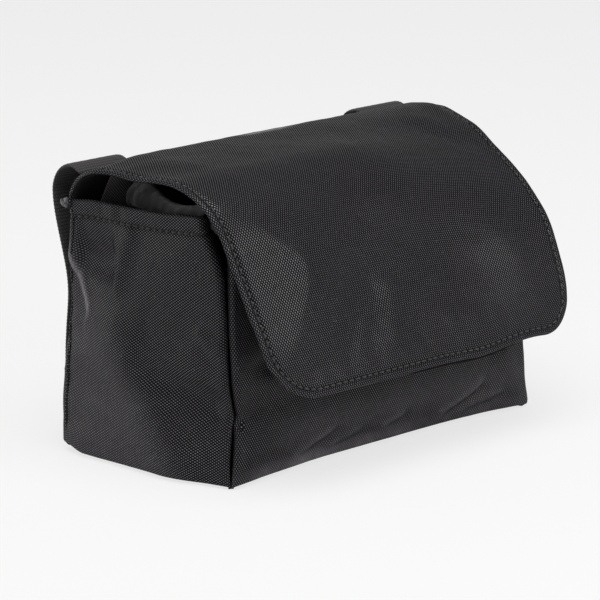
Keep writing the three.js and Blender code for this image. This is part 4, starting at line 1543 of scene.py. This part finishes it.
left_side, left_hem = make_side("left_side_panel", -1, LEFT_FOLDS, 31)
right_side, right_hem = make_side("right_side_panel", 1, RIGHT_FOLDS, 36)
front_panel, front_hem = make_front()
back_panel = make_back(flap_columns)
bottom_panel = make_bottom()
hem_stitches = thread_piece("hem_stitches", left_hem + right_hem + front_hem, thread_finish)
for piece, node in (
    (left_side, "left_side_panel"),
    (right_side, "right_side_panel"),
    (front_panel, "front_panel"),
    (back_panel, "back_panel"),
    (bottom_panel, "bottom_panel"),
):
    piece.name = node + "_cloth"
    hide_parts(node)
    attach(piece, "pouch")
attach(hem_stitches, "pouch")

pocket_lining = make_pocket_lining()
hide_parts("left_side_lining", "right_side_lining", "front_lining")
bottom_lining = make_bottom_lining()
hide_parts("bottom_lining")
back_lining = make_back_lining(flap_columns)
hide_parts("back_lining")
bottom_lining.name, back_lining.name = "bottom_lining_cloth", "back_lining_cloth"
lining_roll = make_lining_roll()
lining_fold = make_lining_fold()
for piece in (pocket_lining, bottom_lining, back_lining, lining_roll, lining_fold):
    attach(piece, "pouch")

loop_strip, loop_threads = make_tape("loop_strip_tape", loop_place, loop_normal, loop_tape)
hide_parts("loop_strip")
hook_strip, hook_threads = make_tape("hook_strip_tape", hook_place, hook_normal, hook_tape)
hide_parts("hook_strip")
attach(loop_strip, "pouch")
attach(hook_strip, "flap_front")
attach(thread_piece("loop_strip_stitches", loop_threads, thread_finish), "pouch")
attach(thread_piece("hook_strip_stitches", hook_threads, thread_finish), "flap_front")

row_threads = []
for name, low in (("lower_webbing_row", LOWER_ROW), ("upper_webbing_row", UPPER_ROW)):
    row, threads = make_row(name + "_band", low)
    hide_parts(name)
    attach(row, "pouch")
    row_threads += threads
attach(thread_piece("webbing_row_stitches", row_threads, thread_finish), "pouch")

for side, x, sway, hug, sag in (
    ("left", -STRAP_SPACING, -0.6, 3.3, 0.0),
    ("middle", 0.0, 0.8, 2.2, 2.5),
    ("right", STRAP_SPACING, 0.5, 2.6, 0.0),
):
    strap, threads = make_strap(f"strap_{side}_band", x, sway, hug, sag)
    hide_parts(f"strap_{side}")
    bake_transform(strap)
    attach(threads, f"strap_{side}")
    make_snap(side, x)
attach(make_tuft(), "pouch")


# Stage, light and camera


def seen_directly(tree):
    """1 where the camera sees a surface straight or through glass, and 0 where it only lights others."""
    path = add(tree, "ShaderNodeLightPath").outputs
    return math_node(tree, "MAXIMUM", path["Is Camera Ray"], path["Is Transmission Ray"])


def make_stage():
    size = 6.0
    mesh = bpy.data.meshes.new("floor")
    corners = [(-size, -size, 0), (size, -size, 0), (size, size, 0), (-size, size, 0)]
    mesh.from_pydata(corners, [], [(0, 1, 2, 3)])
    floor = bpy.data.objects.new("floor", mesh)
    bpy.context.scene.collection.objects.link(floor)
    floor.location = (0, 0, -0.0002)
    finish, tree, shader = start_finish("floor paper")
    paper = {"Base Color": (0.93, 0.93, 0.935, 1), "Roughness": 0.9, "Specular IOR Level": 0.1}
    feed(tree, shader, paper)
    # The paper glows where it is seen, as in an overexposed studio picture.
    glow = add(tree, "ShaderNodeEmission", {"Color": (1, 1, 1, 1), "Strength": 1.0})
    share = math_node(tree, "MULTIPLY", seen_directly(tree), 0.72)
    mix = add(tree, "ShaderNodeMixShader", {"Fac": share, 1: shader.outputs[0], 2: glow.outputs[0]})
    feed(tree, tree.nodes["Material Output"], {"Surface": mix.outputs[0]})
    mesh.materials.append(finish)


def make_world():
    world = bpy.data.worlds.new("studio")
    world.use_nodes = True
    bpy.context.scene.world = world
    tree = world.node_tree
    # The studio is brighter towards the horizon than overhead, and dimmer towards the right front.
    way = add(tree, "ShaderNodeSeparateXYZ", {"Vector": add(tree, "ShaderNodeTexCoord").outputs["Generated"]})
    fall = {"Value": way.outputs["Z"], "From Min": 0.0, "From Max": 0.8, "To Min": 0.48, "To Max": 0.22}
    right = math_node(tree, "SUBTRACT", way.outputs["X"], way.outputs["Y"])
    dim = {"Value": right, "From Min": -1.0, "From Max": 1.3, "To Min": 1.1, "To Max": 0.6}
    levels = [add(tree, "ShaderNodeMapRange", inputs).outputs[0] for inputs in (fall, dim)]
    strength = math_node(tree, "MAXIMUM", seen_directly(tree), math_node(tree, "MULTIPLY", *levels))
    feed(tree, tree.nodes["Background"], {"Color": (1.0, 1.0, 1.0, 1), "Strength": strength})


def soft_lamp(name, place, aim, size, power):
    lamp = bpy.data.lights.new(name, "AREA")
    lamp.shape = "RECTANGLE"
    lamp.size, lamp.size_y = size
    lamp.energy = power
    holder = bpy.data.objects.new(name, lamp)
    bpy.context.scene.collection.objects.link(holder)
    holder.location = place
    holder.rotation_euler = (Vector(aim) - Vector(place)).to_track_quat("-Z", "Y").to_euler()


def make_camera():
    yaw, pitch = math.radians(42.73), math.radians(15.15)
    ahead = Vector((math.sin(yaw) * math.cos(pitch), math.cos(yaw) * math.cos(pitch), -math.sin(pitch)))
    data = bpy.data.cameras.new("camera")
    data.lens = 195.06
    data.sensor_width = 36.0
    data.clip_start, data.clip_end = 0.05, 50
    camera = bpy.data.objects.new("camera", data)
    bpy.context.scene.collection.objects.link(camera)
    camera.location = (-0.853, -0.915, 0.390)
    camera.rotation_euler = ahead.to_track_quat("-Z", "Y").to_euler()
    bpy.context.scene.camera = camera


make_stage()
make_world()
soft_lamp("overhead panel", (-0.20, -0.30, 1.3), (0, -0.08, 0.0), (1.2, 1.2), 12.2)
soft_lamp("front panel", (0.36, -1.22, 0.66), (0, 0, 0.06), (0.75, 0.6), 4.1)
soft_lamp("left panel", (-1.05, 0.95, 0.14), (0, 0, 0.04), (0.8, 0.3), 2.0)
soft_lamp("left front panel", (-1.25, -0.40, 0.30), (0, 0, 0.06), (0.5, 0.5), 0.7)
soft_lamp("rear panel", (0.50, 1.15, 0.60), (0, 0, 0.08), (1.6, 0.8), 0.25)
make_camera()
bpy.context.scene.view_settings.view_transform = "Standard"
